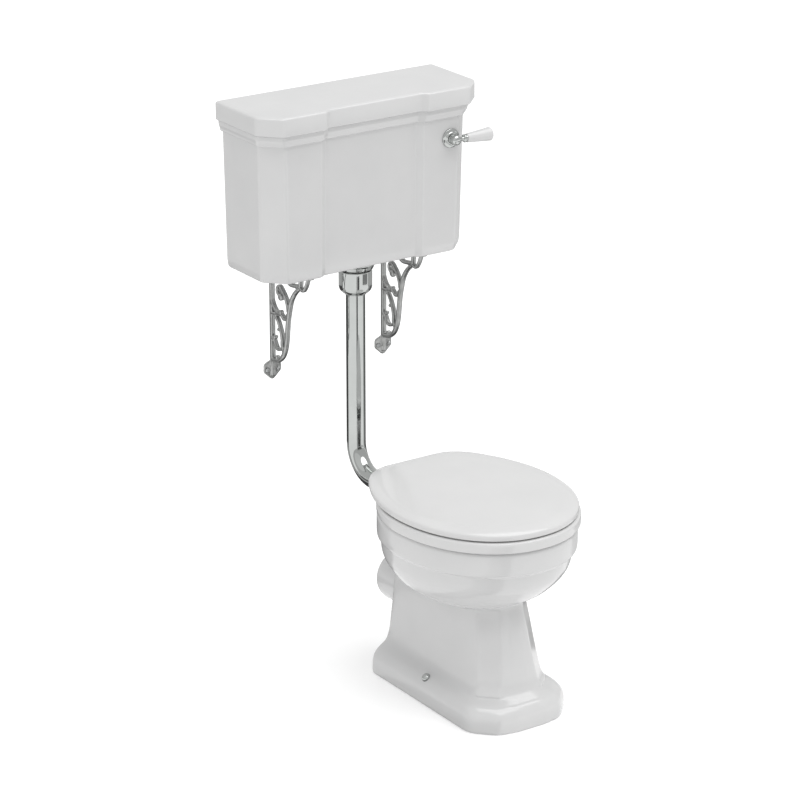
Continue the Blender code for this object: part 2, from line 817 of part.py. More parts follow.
def buffers():
    """Rubber feet under the ring, and pads under the lid."""
    places = [
        (-118 * MM, BOWL_Y + 90 * MM), (118 * MM, BOWL_Y + 90 * MM),
        (-104 * MM, BOWL_Y - 138 * MM), (104 * MM, BOWL_Y - 138 * MM),
    ]
    for i, (x, y) in enumerate(places):
        turned(
            f"ring_buffer_{i + 1}",
            [(0, SEAT_GAP - GAP), (BUFFER_RADIUS, SEAT_GAP - GAP), (BUFFER_RADIUS - 1 * MM, GAP), (0, GAP)],
            white_rubber(), (x, y, RIM_TOP), steps=12,
        )
    for x, word in ((-136 * MM, "left"), (136 * MM, "right")):
        turned(
            "lid_buffer_" + word,
            [(0, LID_GAP - 0.2 * MM), (BUFFER_RADIUS, LID_GAP - 0.2 * MM), (BUFFER_RADIUS - 1 * MM, 0.2 * MM), (0, 0.2 * MM)],
            white_rubber(), (x, BOWL_Y - 30 * MM, RING_TOP), steps=12,
        )


def flush_pipe():
    """A thin tube: down from the cistern, round one bend and forwards into the horn."""
    top = CISTERN_BOTTOM - TAIL_DROP + PIPE_INTO_TAIL
    points = [(0, PIPE_Y, top), (0, PIPE_Y, HORN_HEIGHT + PIPE_BEND)]
    for i in range(1, 6):
        turn = math.pi / 2 * i / 6
        points.append(
            (0, PIPE_Y - PIPE_BEND * (1 - math.cos(turn)), HORN_HEIGHT + PIPE_BEND * (1 - math.sin(turn)))
        )
    points += [(0, PIPE_Y - PIPE_BEND, HORN_HEIGHT), (0, DECK_BACK + 8 * MM, HORN_HEIGHT)]
    pipe = tube("flush_pipe", points, PIPE_RADIUS, chrome(), 18)
    inside = [(0, PIPE_Y, top + 5 * MM), *points[1:-1], (0, DECK_BACK + 3 * MM, HORN_HEIGHT)]
    return cut(pipe, tube("pipe bore", inside, PIPE_RADIUS - PIPE_WALL, chrome(), 18))


def flush_cone():
    """The rubber seal that grips the horn and the pipe."""
    grip = PIPE_RADIUS + GAP
    over = HORN_RADIUS + GAP
    turned(
        "flush_cone",
        [(grip + 4 * MM, 26 * MM), (grip + 5 * MM, 10 * MM), (over + 5 * MM, -2 * MM), (over + 5 * MM, -20 * MM),
         (over, -20 * MM), (over, GAP), (grip, GAP), (grip, 26 * MM)],
        rubber(), (0, HORN_END, HORN_HEIGHT), (0, 1, 0), 24, ring=True,
    )


def pipe_joint():
    """The cup-shaped nut, the rubber ring in it and the back nut under the cistern."""
    tail_end = CISTERN_BOTTOM - TAIL_DROP
    nut_top = CISTERN_BOTTOM - BACK_NUT_HEIGHT - 3 * MM
    thread = TAIL_RADIUS + GAP
    bore = PIPE_RADIUS + GAP
    ledge = tail_end - 12 * MM
    low = nut_top - NUT_HEIGHT
    turned(
        "coupling_nut",
        [(NUT_RADIUS - 2 * MM, nut_top), (NUT_RADIUS, nut_top - 2 * MM), (NUT_RADIUS, low + 16 * MM),
         (NUT_RADIUS - 2.5 * MM, low + 9 * MM), (NUT_RADIUS - 9 * MM, low + 3 * MM), (NUT_RADIUS - 12 * MM, low),
         (bore, low), (bore, ledge), (thread, ledge), (thread, nut_top)],
        chrome(), (0, PIPE_Y, 0), steps=22, ring=True,
    )
    collar("joint_ring", thread - 2 * GAP, bore, ledge + GAP, tail_end - GAP, rubber(), (0, PIPE_Y, 0))
    flange_low = CISTERN_BOTTOM - BACK_NUT_HEIGHT
    turned(
        "siphon_back_nut",
        [(BACK_NUT_RADIUS, CISTERN_BOTTOM - GAP), (BACK_NUT_RADIUS, CISTERN_BOTTOM - 4 * MM),
         (BACK_NUT_RADIUS - 6 * MM, flange_low), (thread, flange_low), (thread, CISTERN_BOTTOM - GAP)],
        chrome(), (0, PIPE_Y, 0), steps=22, ring=True,
    )


def cistern_outline(width, depth, chamfer, recess, inset=0.0, panel=PANEL_HALF_WIDTH):
    """The cistern's plan: chamfered front corners and a panel set back in the middle of the front."""
    half_width = width / 2 - inset
    front = WALL - depth + inset
    half = [
        (panel - 8 * MM, front + recess, 8 * MM),
        (panel + 8 * MM, front, 8 * MM),
        (half_width - chamfer, front, 12 * MM),
        (half_width, front + chamfer, 12 * MM),
        (half_width, WALL - inset, 4 * MM),
    ]
    return rounded(mirrored(half), 2)


def body_depth(height):
    """Depth of the body at a height under the moulding."""
    share = (MOULDING_BOTTOM - height) / BODY_HEIGHT
    return BODY_DEPTH - 0.7 * BODY_TAPER * share


def body_section(height, inset):
    share = (MOULDING_BOTTOM - height) / BODY_HEIGHT
    width = BODY_WIDTH - 2 * BODY_TAPER * share
    return at_height(cistern_outline(width, body_depth(height), CHAMFER, PANEL_RECESS, inset), height)


def moulding_section(height, step):
    outline = cistern_outline(BODY_WIDTH + 2 * step, BODY_DEPTH + step, CHAMFER, PANEL_RECESS)
    return at_height(outline, height)


def cistern_body():
    sections = [
        body_section(CISTERN_BOTTOM, 9 * MM),
        body_section(CISTERN_BOTTOM + 3 * MM, 3.5 * MM),
        body_section(CISTERN_BOTTOM + 10 * MM, 0),
        body_section(MOULDING_BOTTOM, 0),
        moulding_section(MOULDING_BOTTOM + 1.5 * MM, MOULDING_STEP - 1 * MM),
        moulding_section(MOULDING_BOTTOM + 8 * MM, MOULDING_STEP),
        moulding_section(MOULDING_BOTTOM + 14 * MM, MOULDING_STEP + 2.5 * MM),
        moulding_section(BODY_TOP, MOULDING_STEP + 3 * MM),
    ]
    body = loft("cistern_body", sections, china())
    space = [
        at_height(cistern_outline(BODY_WIDTH, BODY_DEPTH, CHAMFER, PANEL_RECESS, CISTERN_WALL), height)
        for height in (MOULDING_BOTTOM, BODY_TOP + 5 * MM)
    ]
    space = [body_section(FLOOR_OF_CISTERN + 10 * MM, CISTERN_WALL), *space]
    space = [body_section(FLOOR_OF_CISTERN, CISTERN_WALL + 8 * MM), *space]
    cut(body, loft("tank space", space, china()))
    for x, y, radius in ((0, PIPE_Y, TAIL_RADIUS), (VALVE_X, WALL - VALVE_FROM_WALL, VALVE_TAIL)):
        cut(body, rod("floor hole", (x, y, CISTERN_BOTTOM - 5 * MM), (x, y, FLOOR_OF_CISTERN + 5 * MM), radius + 1 * MM, china(), 24))
    front = WALL - body_depth(LEVER_Z)
    cut(body, rod("lever hole", (LEVER_X, front - 5 * MM, LEVER_Z), (LEVER_X, front + 14 * MM, LEVER_Z), BUSH_RADIUS + GAP, china(), 16))
    for side in (-1, 1):
        x = side * WALL_SCREW_X
        cut(body, rod("screw hole", (x, WALL - 15 * MM, WALL_SCREW_Z), (x, WALL + 5 * MM, WALL_SCREW_Z), 3.2 * MM, china(), 12))
    return body


WALL_SCREW_X = 150 * MM
WALL_SCREW_Z = MOULDING_BOTTOM - 22 * MM


def cistern_lid():
    low = BODY_TOP + GAP
    top = low + LID_SKIRT
    width = BODY_WIDTH + 2 * (MOULDING_STEP + LID_OVER)
    depth = BODY_DEPTH + MOULDING_STEP + LID_OVER + 3 * MM
    levels = [(low, 1 * MM), (low + 2 * MM, 0), (top - 6 * MM, 0), (top - 2 * MM, 1.5 * MM), (top, 6 * MM)]
    sections = [
        at_height(cistern_outline(width, depth, CHAMFER + 1 * MM, LID_RECESS, inset), height)
        for height, inset in levels
    ]
    lid = loft("cistern_lid", sections, china())
    hollow = [
        at_height(cistern_outline(width, depth, CHAMFER, LID_RECESS, inset), height)
        for height, inset in ((low - 3 * MM, 26 * MM), (top - LID_SHELL, 30 * MM))
    ]
    return cut(lid, loft("lid space", hollow, china()))


def bracket_point(side, out, drop):
    """A point in a bracket's plane, from its distance to the wall and below the cistern."""
    return (side * BRACKET_SPACING / 2, WALL - out, CISTERN_BOTTOM - drop)


def bracket(side, word):
    """A cast bracket: back bar, top arm with a lip, swept outer rib, scrolls and a shield for the screws."""
    x = side * BRACKET_SPACING / 2
    half = BRACKET_WIDTH / 2
    metal = satin_metal()
    top = CISTERN_BOTTOM - GAP
    bottom = CISTERN_BOTTOM - BRACKET_DROP
    piece = box("bracket_" + word, (x - half, WALL - 8 * MM, bottom), (x + half, WALL, top), metal)
    arm = box("arm", (x - half, WALL - BRACKET_REACH, top - 7 * MM), (x + half, WALL - 4 * MM, top), metal)
    shield_corners = [
        (0, -27 * MM, 8 * MM), (SHIELD_HALF_WIDTH, -6 * MM, 10 * MM), (SHIELD_HALF_WIDTH - 2 * MM, 12 * MM, 8 * MM),
        (0, 22 * MM, 6 * MM), (-SHIELD_HALF_WIDTH + 2 * MM, 12 * MM, 8 * MM), (-SHIELD_HALF_WIDTH, -6 * MM, 10 * MM),
    ]
    shield = plate("shield", [rounded(shield_corners)], 0, 5 * MM, metal)
    shield.matrix_world = Matrix.Translation((x, WALL, bottom)) @ Matrix.Rotation(math.pi / 2, 4, "X")
    ribs = [
        ("outer rib", 5.5 * MM, [(112, 5), (107, 31), (80, 55), (67, 80), (62, 110), (59, 138), (54, 164), (42, 192), (24, 206), (4, 208)]),
        ("upper scroll", 4.5 * MM, [(34, 4), (48, 22), (60, 42), (63, 62), (60, 84), (48, 100), (30, 101), (8, 92)]),
        ("curl", 4 * MM, [(46, 26), (38, 40), (30, 54), (33, 68)]),
        ("leaf", 4.5 * MM, [(6, 84), (22, 106), (33, 127), (41, 148), (45, 172), (42, 190)]),
        ("lower scroll", 4 * MM, [(5, 150), (16, 160), (24, 172), (36, 176), (44, 170)]),
        ("lip", 5 * MM, [(112, 6), (124, 22), (136, 30), (147, 18), (153, 5)]),
    ]
    join(piece, arm, shield)
    for name, radius, route in ribs:
        points = [bracket_point(side, out * MM, drop * MM) for out, drop in route]
        if name in ("outer rib", "upper scroll"):
            points = through(points, 2)
        join(piece, tube(name, points, radius, metal, 6))
    join(piece, ball("curl end", bracket_point(side, 35 * MM, 70 * MM), 8 * MM, metal, 12))
    for way in (-1, 1):
        hole_x = x + way * SHIELD_HOLE_SPACING / 2
        cut(piece, rod("hole", (hole_x, WALL - 9 * MM, bottom), (hole_x, WALL + 3 * MM, bottom), SHIELD_HOLE, metal, 12))
        turned(
            f"bracket_screw_{word}_{'inner' if way * side < 0 else 'outer'}",
            [(0, 8.2 * MM), (3 * MM, 7.4 * MM), (4.6 * MM, 5.3 * MM), (SHIELD_HOLE - GAP, 5.3 * MM), (SHIELD_HOLE - GAP, 0), (0, 0)],
            steel(), (hole_x, WALL, bottom), (0, -1, 0), 12,
        )
    return piece


def wall_screws():
    for side, word in ((-1, "left"), (1, "right")):
        inside = CISTERN_WALL + GAP
        turned(
            "cistern_wall_screw_" + word,
            [(0, inside + 5 * MM), (4.5 * MM, inside + 3.5 * MM), (6.5 * MM, inside), (2.9 * MM, inside), (2.9 * MM, 0), (0, 0)],
            steel(), (side * WALL_SCREW_X, WALL, WALL_SCREW_Z), (0, -1, 0), 12,
        )


def siphon():
    """The bell over the lift plate, the bend over to the down leg, and the tail through the floor."""
    base = FLOOR_OF_CISTERN + BELL_LIFT
    bell_top = base + BELL_HEIGHT
    bend = FLOOR_OF_CISTERN + SIPHON_TOP
    bell_at = (BELL_X, PIPE_Y, 0)
    shell = 3 * MM
    bend_radius = UP_LEG_X / 2
    outside = turned(
        "siphon_body",
        [(0, bell_top + 8 * MM), (BELL_RADIUS * 0.75, bell_top + 5 * MM), (BELL_RADIUS - 4 * MM, bell_top), (BELL_RADIUS, bell_top - 8 * MM),
         (BELL_RADIUS, base), (0, base)],
        polymer(), bell_at, steps=24,
    )

    def leg(name, radius, low, up_low):
        points = [(UP_LEG_X, PIPE_Y, up_low), (UP_LEG_X, PIPE_Y, bend)]
        for i in range(1, 6):
            turn = math.pi * i / 6
            points.append((bend_radius + bend_radius * math.cos(turn), PIPE_Y, bend + bend_radius * math.sin(turn)))
        points += [(0, PIPE_Y, bend), (0, PIPE_Y, low)]
        return tube(name, points, radius, polymer(), 14)

    tail_low = CISTERN_BOTTOM - TAIL_DROP
    join(outside, leg("legs", TAIL_RADIUS, tail_low, bell_top - 20 * MM))
    flange = rod("flange", (0, PIPE_Y, FLOOR_OF_CISTERN + 3.6 * MM), (0, PIPE_Y, FLOOR_OF_CISTERN + 8 * MM), 33 * MM, polymer(), 24)
    join(outside, flange)
    chamber = turned(
        "chamber",
        [(0, bell_top + 2 * MM), (BELL_RADIUS * 0.7, bell_top), (BELL_RADIUS - shell, bell_top - 9 * MM), (BELL_RADIUS - shell, base - 5 * MM), (0, base - 5 * MM)],
        polymer(), bell_at, steps=24,
    )
    join(chamber, leg("leg bores", TAIL_BORE, tail_low - 5 * MM, bell_top - 14 * MM))
    cut(outside, chamber)
    cut(outside, rod("rod hole", (LIFT_ROD_X, PIPE_Y, bell_top - 20 * MM), (LIFT_ROD_X, PIPE_Y, bend + 40 * MM), LIFT_ROD_RADIUS + 0.5 * MM, polymer(), 16))
    collar("siphon_washer", 32 * MM, TAIL_RADIUS + GAP, GAP, 3.3 * MM, rubber(), (0, PIPE_Y, FLOOR_OF_CISTERN))


LINK_TOP_SLACK = 0.5 * MM


def siphon_lift():
    """What the lever pulls up: the plate in the bell, its rod, the flap on it and the link on top."""
    base = FLOOR_OF_CISTERN + BELL_LIFT
    plate_low = base + 8 * MM
    link_inside = LEVER_Z + ARM_HEIGHT / 2 + LINK_TOP_SLACK
    link_low = link_inside - 22 * MM
    rod_top = link_low - 4 * MM
    plate_radius = BELL_RADIUS - 6 * MM
    lift = rod("lift_plate", (BELL_X, PIPE_Y, plate_low), (BELL_X, PIPE_Y, plate_low + 3 * MM), plate_radius, polymer(), 24)
    join(lift, rod("lift rod", (LIFT_ROD_X, PIPE_Y, plate_low + 1 * MM), (LIFT_ROD_X, PIPE_Y, rod_top), LIFT_ROD_RADIUS, polymer(), 12))
    for k in range(4):
        turn = math.radians(45 + 90 * k)
        x = BELL_X + 24 * MM * math.cos(turn)
        y = PIPE_Y + 24 * MM * math.sin(turn)
        cut(lift, rod("port", (x, y, plate_low - 5 * MM), (x, y, plate_low + 8 * MM), 7 * MM, polymer(), 10))
    flap = rod("siphon_diaphragm", (BELL_X, PIPE_Y, plate_low + 3.3 * MM), (BELL_X, PIPE_Y, plate_low + 4.3 * MM), plate_radius + 1 * MM, rubber(), 24)
    cut(flap, rod("rod hole", (LIFT_ROD_X, PIPE_Y, plate_low), (LIFT_ROD_X, PIPE_Y, plate_low + 9 * MM), LIFT_ROD_RADIUS + GAP, rubber(), 12))
    link = box(
        "siphon_link",
        (LIFT_ROD_X - 2 * MM, PIPE_Y - 9 * MM, rod_top + GAP), (LIFT_ROD_X + 2 * MM, PIPE_Y + 9 * MM, link_inside + 3.5 * MM), steel(), 0.8 * MM,
    )
    cut(link, box("loop", (LIFT_ROD_X - 5 * MM, PIPE_Y - 6 * MM, link_low), (LIFT_ROD_X + 5 * MM, PIPE_Y + 6 * MM, link_inside), steel()))


def lever():
    """Rose and bush on the cistern; crank, ceramic handle, spindle and inside arm that turn together."""
    front = WALL - body_depth(LEVER_Z)
    centre = (LEVER_X, front, LEVER_Z)
    outward = (0, -1, 0)
    bore = SPINDLE_RADIUS + GAP
    inside = -CISTERN_WALL
    turned(
        "lever_rose",
        [(ROSE_RADIUS * 0.62, ROSE_THICK), (ROSE_RADIUS * 0.82, ROSE_THICK - 1 * MM), (ROSE_RADIUS - 1 * MM, ROSE_THICK - 3.5 * MM), (ROSE_RADIUS, 2 * MM),
         (ROSE_RADIUS, GAP), (BUSH_RADIUS, GAP), (BUSH_RADIUS, inside - 13 * MM), (bore, inside - 13 * MM), (bore, ROSE_THICK)],
        chrome(), centre, outward, 18, ring=True,
    )
    thread = BUSH_RADIUS + GAP
    hex_nut("lever_bush_nut", 12 * MM, thread, inside - 9.5 * MM, inside - 3.5 * MM, brass(), centre, outward)
    hub = ROSE_THICK + 1 * MM
    end = hub + HUB_LENGTH
    crank = turned(
        "lever_crank",
        [(0, end), (HUB_RADIUS * 0.6, end - 1.2 * MM), (HUB_RADIUS * 0.92, end - 4.5 * MM), (HUB_RADIUS, end - 8 * MM), (HUB_RADIUS, hub + 3 * MM), (HUB_RADIUS - 2 * MM, hub), (0, hub)],
        chrome(), centre, outward, 16,
    )
    grip_y = front - hub - HUB_LENGTH * 0.48
    neck_end = HANDLE_START - GAP
    neck = turned(
        "neck",
        [(0, neck_end), (7 * MM, neck_end), (8.2 * MM, neck_end - 2.5 * MM), (7 * MM, neck_end - 5 * MM), (4.2 * MM, neck_end - 7 * MM), (4.6 * MM, 4 * MM), (0, 4 * MM)],
        chrome(), (LEVER_X, grip_y, LEVER_Z), (1, 0, 0), 12,
    )
    join(crank, neck)
    reach = PIPE_Y + 6 * MM
    cut(crank, rod("spindle seat", (LEVER_X, front - hub - 12 * MM - GAP, LEVER_Z), (LEVER_X, front, LEVER_Z), bore, chrome(), 16))
    rod("lever_spindle", (LEVER_X, front - hub - 12 * MM, LEVER_Z), (LEVER_X, reach, LEVER_Z), SPINDLE_RADIUS, brass(), 16)
    handle_end = HANDLE_START + HANDLE_LENGTH
    turned(
        "lever_handle",
        [(0, handle_end), (6 * MM, handle_end), (HANDLE_BIG - 3.5 * MM, handle_end - 2 * MM), (HANDLE_BIG - 0.5 * MM, handle_end - 6.5 * MM), (HANDLE_BIG, handle_end - 9 * MM),
         (HANDLE_SMALL, HANDLE_START + 1 * MM), (HANDLE_SMALL - 1 * MM, HANDLE_START), (0, HANDLE_START)],
        china(), (LEVER_X, grip_y, LEVER_Z), (1, 0, 0), 20,
    )
    cap = handle_end + GAP
    turned(
        "lever_end_cap",
        [(0, cap + 4 * MM), (3 * MM, cap + 3.6 * MM), (5 * MM, cap + 2 * MM), (5.4 * MM, cap), (0, cap)],
        chrome(), (LEVER_X, grip_y, LEVER_Z), (1, 0, 0), 12,
    )
    half = ARM_THICK / 2
    arm = box(
        "lift_arm",
        (LIFT_ROD_X - 8 * MM, PIPE_Y - half, LEVER_Z - ARM_HEIGHT / 2), (LEVER_X + 4 * MM, PIPE_Y + half, LEVER_Z + ARM_HEIGHT / 2), brass(), 0.8 * MM,
    )
    join(arm, rod("boss", (LEVER_X, PIPE_Y - 7 * MM, LEVER_Z), (LEVER_X, PIPE_Y + 4 * MM, LEVER_Z), 9 * MM, brass(), 20))
    cut(arm, rod("spindle hole", (LEVER_X, PIPE_Y - 12 * MM, LEVER_Z), (LEVER_X, PIPE_Y + 12 * MM, LEVER_Z), bore, brass(), 16))


HANDLE_START = 25 * MM  # from the spindle to the ceramic


def float_valve():
    """A bottom inlet valve, with a long arm behind the siphon and the ball that shuts it."""
    y = WALL - VALVE_FROM_WALL
    at = (VALVE_X, y, 0)
    low = CISTERN_BOTTOM - VALVE_TAIL_DROP
    floor = FLOOR_OF_CISTERN + GAP
    top = floor + VALVE_HEIGHT
    head = VALVE_RADIUS + 3 * MM
    neck = VALVE_RADIUS - 2 * MM
    flange = VALVE_RADIUS + 5 * MM
    body = turned(
        "valve_body",
        [(0, top), (head, top), (head, top - 24 * MM), (neck, top - 30 * MM), (neck, floor + 18 * MM),
         (flange, floor + 8 * MM), (flange, floor), (VALVE_TAIL, floor), (VALVE_TAIL, low), (0, low)],
        polymer(), at, steps=16,
    )
    pivot = Vector((VALVE_X - 15 * MM, y, top - 8 * MM))
    for way in (-1, 1):
        side_y = y + way * 7 * MM
        lug = box(
            "lug", (pivot.x - 6 * MM, side_y - 2 * MM, pivot.z - 7 * MM),
            (VALVE_X - 5 * MM, side_y + 2 * MM, pivot.z + 6 * MM), polymer(),
        )
        join(body, lug)
    slot = box(
        "slot", (pivot.x - 10 * MM, y - 4.6 * MM, pivot.z - 9 * MM),
        (pivot.x + 5 * MM, y + 4.6 * MM, top + 5 * MM), polymer(),
    )
    across = Vector((0, 1, 0))
    pin_hole = rod("pin hole", pivot - across * 15 * MM, pivot + across * 15 * MM, 1.8 * MM, polymer(), 12)
    water_way = rod("water way", (VALVE_X, y, low - 5 * MM), (VALVE_X, y, top - 30 * MM), 5 * MM, polymer(), 16)
    cut(body, slot, pin_hole, water_way)
    rod("float_arm_pin", pivot - across * 11 * MM, pivot + across * 11 * MM, 1.5 * MM, brass(), 12)
    hex_nut(
        "valve_back_nut", 16 * MM, VALVE_TAIL + GAP, CISTERN_BOTTOM - 11 * MM, CISTERN_BOTTOM - GAP, polymer(), at
    )

    arm = rod("float_arm", pivot - across * 3.8 * MM, pivot + across * 3.8 * MM, 4 * MM, brass(), 16)
    centre = Vector((FLOAT_X, WALL - FLOAT_FROM_WALL, pivot.z - 8 * MM))
    socket = centre.x + FLOAT_RADIUS - 7 * MM
    route = [
        (pivot.x - 2 * MM, y, pivot.z), (FLOAT_X + 130 * MM, y, pivot.z - 4 * MM),
        (socket + 20 * MM, centre.y, centre.z), (socket + 1 * MM, centre.y, centre.z),
    ]
    join(arm, tube("arm rod", route, 2.2 * MM, brass(), 8))
    cut(arm, rod("arm pin hole", pivot - across * 8 * MM, pivot + across * 8 * MM, 1.8 * MM, brass(), 12))
    float_ball = ball("float_ball", centre, FLOAT_RADIUS, polymer(), 18)
    start = Vector((socket, centre.y, centre.z))
    cut(float_ball, rod("arm socket", start, start + Vector((20 * MM, 0, 0)), 3 * MM, polymer(), 12))


def hang(name, at, *pieces):
    """Puts moving pieces under an empty on their joint's axis, where they are."""
    axis = bpy.data.objects.new(name, None)
    suite.objects.link(axis)
    axis.location = at
    for piece in pieces:
        child = bpy.data.objects[piece]
        child.parent = axis
        child.matrix_parent_inverse = Matrix.Translation(-Vector(at))


for leftover in list(bpy.data.objects):
    bpy.data.objects.remove(leftover)
suite = bpy.data.collections.new("Low-level WC suite")
cutters = bpy.data.collections.new("Cutters")
bpy.context.scene.collection.children.link(suite)
bpy.context.scene.collection.children.link(cutters)

pan()
floor_fixings()
seat_ring()
seat_lid()
hinge()
buffers()
flush_pipe()
flush_cone()
pipe_joint()
cistern_body()
cistern_lid()
bracket(-1, "left")
bracket(1, "right")
wall_screws()
siphon()
siphon_lift()
lever()
float_valve()
hang(
    "seat hinge axis", (0, ROD_Y, ROD_Z),
    "seat_ring", "seat_lid", "ring_hinge_leaf_left", "ring_hinge_leaf_right", "lid_hinge_leaf_left",
    "lid_hinge_leaf_right", "lid_buffer_left", "lid_buffer_right", "ring_buffer_1", "ring_buffer_2",
    "ring_buffer_3", "ring_buffer_4",
)
hang(
    "lever axis", (LEVER_X, WALL - BODY_DEPTH, LEVER_Z),
    "lever_crank", "lever_handle", "lever_end_cap", "lever_spindle", "lift_arm",
)
hang("siphon lift axis", (LIFT_ROD_X, PIPE_Y, FLOOR_OF_CISTERN), "lift_plate", "siphon_diaphragm", "siphon_link")
hang("float arm axis", bpy.data.objects["float_arm_pin"].location, "float_arm", "float_ball")
hang("cistern lid axis", (0, WALL - BODY_DEPTH / 2, BODY_TOP), "cistern_lid")
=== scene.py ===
"""The looks of a low-level WC suite: glazed china, a lacquered seat, chromed pipework and cast brackets.

Metres, +Z up, the wall at +Y, the origin on the floor under the back of the pan's foot.
"""

import json
import math

import bmesh
import bpy
from mathutils import Matrix, Vector


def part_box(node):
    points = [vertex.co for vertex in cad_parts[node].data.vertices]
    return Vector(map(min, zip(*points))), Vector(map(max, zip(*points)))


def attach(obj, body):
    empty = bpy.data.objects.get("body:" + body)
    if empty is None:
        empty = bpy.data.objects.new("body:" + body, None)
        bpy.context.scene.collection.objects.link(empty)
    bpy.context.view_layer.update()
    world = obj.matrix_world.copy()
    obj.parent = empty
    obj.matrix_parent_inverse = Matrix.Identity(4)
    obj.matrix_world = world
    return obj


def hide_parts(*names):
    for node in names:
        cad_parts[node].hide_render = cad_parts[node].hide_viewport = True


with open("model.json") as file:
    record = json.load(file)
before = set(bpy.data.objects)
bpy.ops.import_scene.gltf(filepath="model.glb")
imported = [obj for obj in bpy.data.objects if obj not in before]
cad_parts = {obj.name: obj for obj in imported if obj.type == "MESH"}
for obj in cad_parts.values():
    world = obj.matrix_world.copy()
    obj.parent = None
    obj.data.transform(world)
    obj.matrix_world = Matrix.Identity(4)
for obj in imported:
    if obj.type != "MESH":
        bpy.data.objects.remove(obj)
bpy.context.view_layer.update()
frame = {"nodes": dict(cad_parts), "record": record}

MM = 0.001
GAP = 0.3 * MM

# Pan
PAN_BACK = 10 * MM
RIM_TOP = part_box("pan")[1].z
RIM_HALF_WIDTH = 178 * MM
RIM_FRONT = 217 * MM
RIM_REAR = 190 * MM
BOWL_Y = -177 * MM
RIM_BAND = 50 * MM
OPENING_HALF_WIDTH = 125 * MM
BOWL_WALL = 13 * MM
DECK_HALF_WIDTH = 80 * MM
DECK_THICK = 34 * MM
DECK_BACK = 28 * MM
FOOT_HALF_WIDTH = 113 * MM
FOOT_LENGTH = 374 * MM
FOOT_CHAMFER = 32 * MM
FOOT_BOW = 7 * MM
FOOT_WALL = 14 * MM
SPIGOT_RADIUS = 52 * MM
SPIGOT_BORE = 43 * MM
SPIGOT_HEIGHT = 158 * MM
SPIGOT_END = 81 * MM
TRAP_BORE = 31 * MM
HORN_RADIUS = 28 * MM
HORN_BORE = 22 * MM
HORN_HEIGHT = 328 * MM
HORN_END = 62 * MM
NECK_BOTTOM = 0.205
NECK_TOP = 0.262
PAN_VOXEL = 2.2 * MM

# Seat
SEAT_HALF_WIDTH = 183 * MM
SEAT_FRONT = 223 * MM
RING_BACK_HALF_WIDTH = 139 * MM
LID_BACK_HALF_WIDTH = 132 * MM
HOLE_HALF_WIDTH = 106 * MM
HOLE_FRONT = 148 * MM
HOLE_REAR = 118 * MM
LID_INSET = 4 * MM
LID_THICK = 19 * MM
OVAL_POWER = 2.1

# Cistern
BODY_WIDTH = 470 * MM
BODY_DEPTH = 167 * MM
BODY_TAPER = 5 * MM
MOULDING_STEP = 6.5 * MM
MOULDING_HEIGHT = 23 * MM
CHAMFER = 37 * MM
PANEL_HALF_WIDTH = 110 * MM
PANEL_RECESS = 8.5 * MM
CISTERN_WALL = 8 * MM
LID_RECESS = 10 * MM
LID_SHELL = 11 * MM

# Flush pipe
PIPE_RADIUS = 19 * MM
PIPE_BEND = 62 * MM
PIPE_GRIP = 19.3 * MM
TAIL_GRIP = 24.3 * MM

# Planes and axes that pieces share
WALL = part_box("cistern_body")[1].y
CISTERN_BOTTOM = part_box("cistern_body")[0].z
BODY_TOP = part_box("cistern_body")[1].z
MOULDING_BOTTOM = BODY_TOP - MOULDING_HEIGHT
PIPE_Y = WALL - 102 * MM
LEVER_X = 179 * MM
LEVER_Z = BODY_TOP - 65 * MM
ROD_Y = 24 * MM
ROD_Z = 388 * MM


# ---------------------------------------------------------------- materials


def new_material(name):
    made = bpy.data.materials.new(name)
    made.use_nodes = True
    return made, made.node_tree.nodes, made.node_tree.links


def noise(nodes, links, scale, detail=3.0, rough=0.5):
    """A noise texture in the piece's own coordinates."""
    place = nodes.new("ShaderNodeTexCoord")
    cloud = nodes.new("ShaderNodeTexNoise")
    cloud.inputs["Scale"].default_value = scale
    cloud.inputs["Detail"].default_value = detail
    cloud.inputs["Roughness"].default_value = rough
    links.new(place.outputs["Object"], cloud.inputs["Vector"])
    return cloud.outputs["Fac"]


def spread(nodes, links, value, low, high):
    """Maps the middle of a noise texture's values to a range."""
    span = nodes.new("ShaderNodeMapRange")
    span.inputs["From Min"].default_value = 0.3
    span.inputs["From Max"].default_value = 0.7
    span.inputs["To Min"].default_value = low
    span.inputs["To Max"].default_value = high
    links.new(value, span.inputs["Value"])
    return span.outputs["Result"]


def tint(nodes, links, value, dark, light):
    """A colour between two, mixed by a value."""
    mix = nodes.new("ShaderNodeMix")
    mix.data_type = "RGBA"
    mix.inputs["A"].default_value = (*dark, 1)
    mix.inputs["B"].default_value = (*light, 1)
    links.new(value, mix.inputs["Factor"])
    return mix.outputs["Result"]


def bump(nodes, links, height, strength, distance, under=None):
    """A relief of a given depth, on top of another if there is one."""
    node = nodes.new("ShaderNodeBump")
    node.inputs["Strength"].default_value = strength
    node.inputs["Distance"].default_value = distance
    links.new(height, node.inputs["Height"])
    if under is not None:
        links.new(under, node.inputs["Normal"])
    return node.outputs["Normal"]


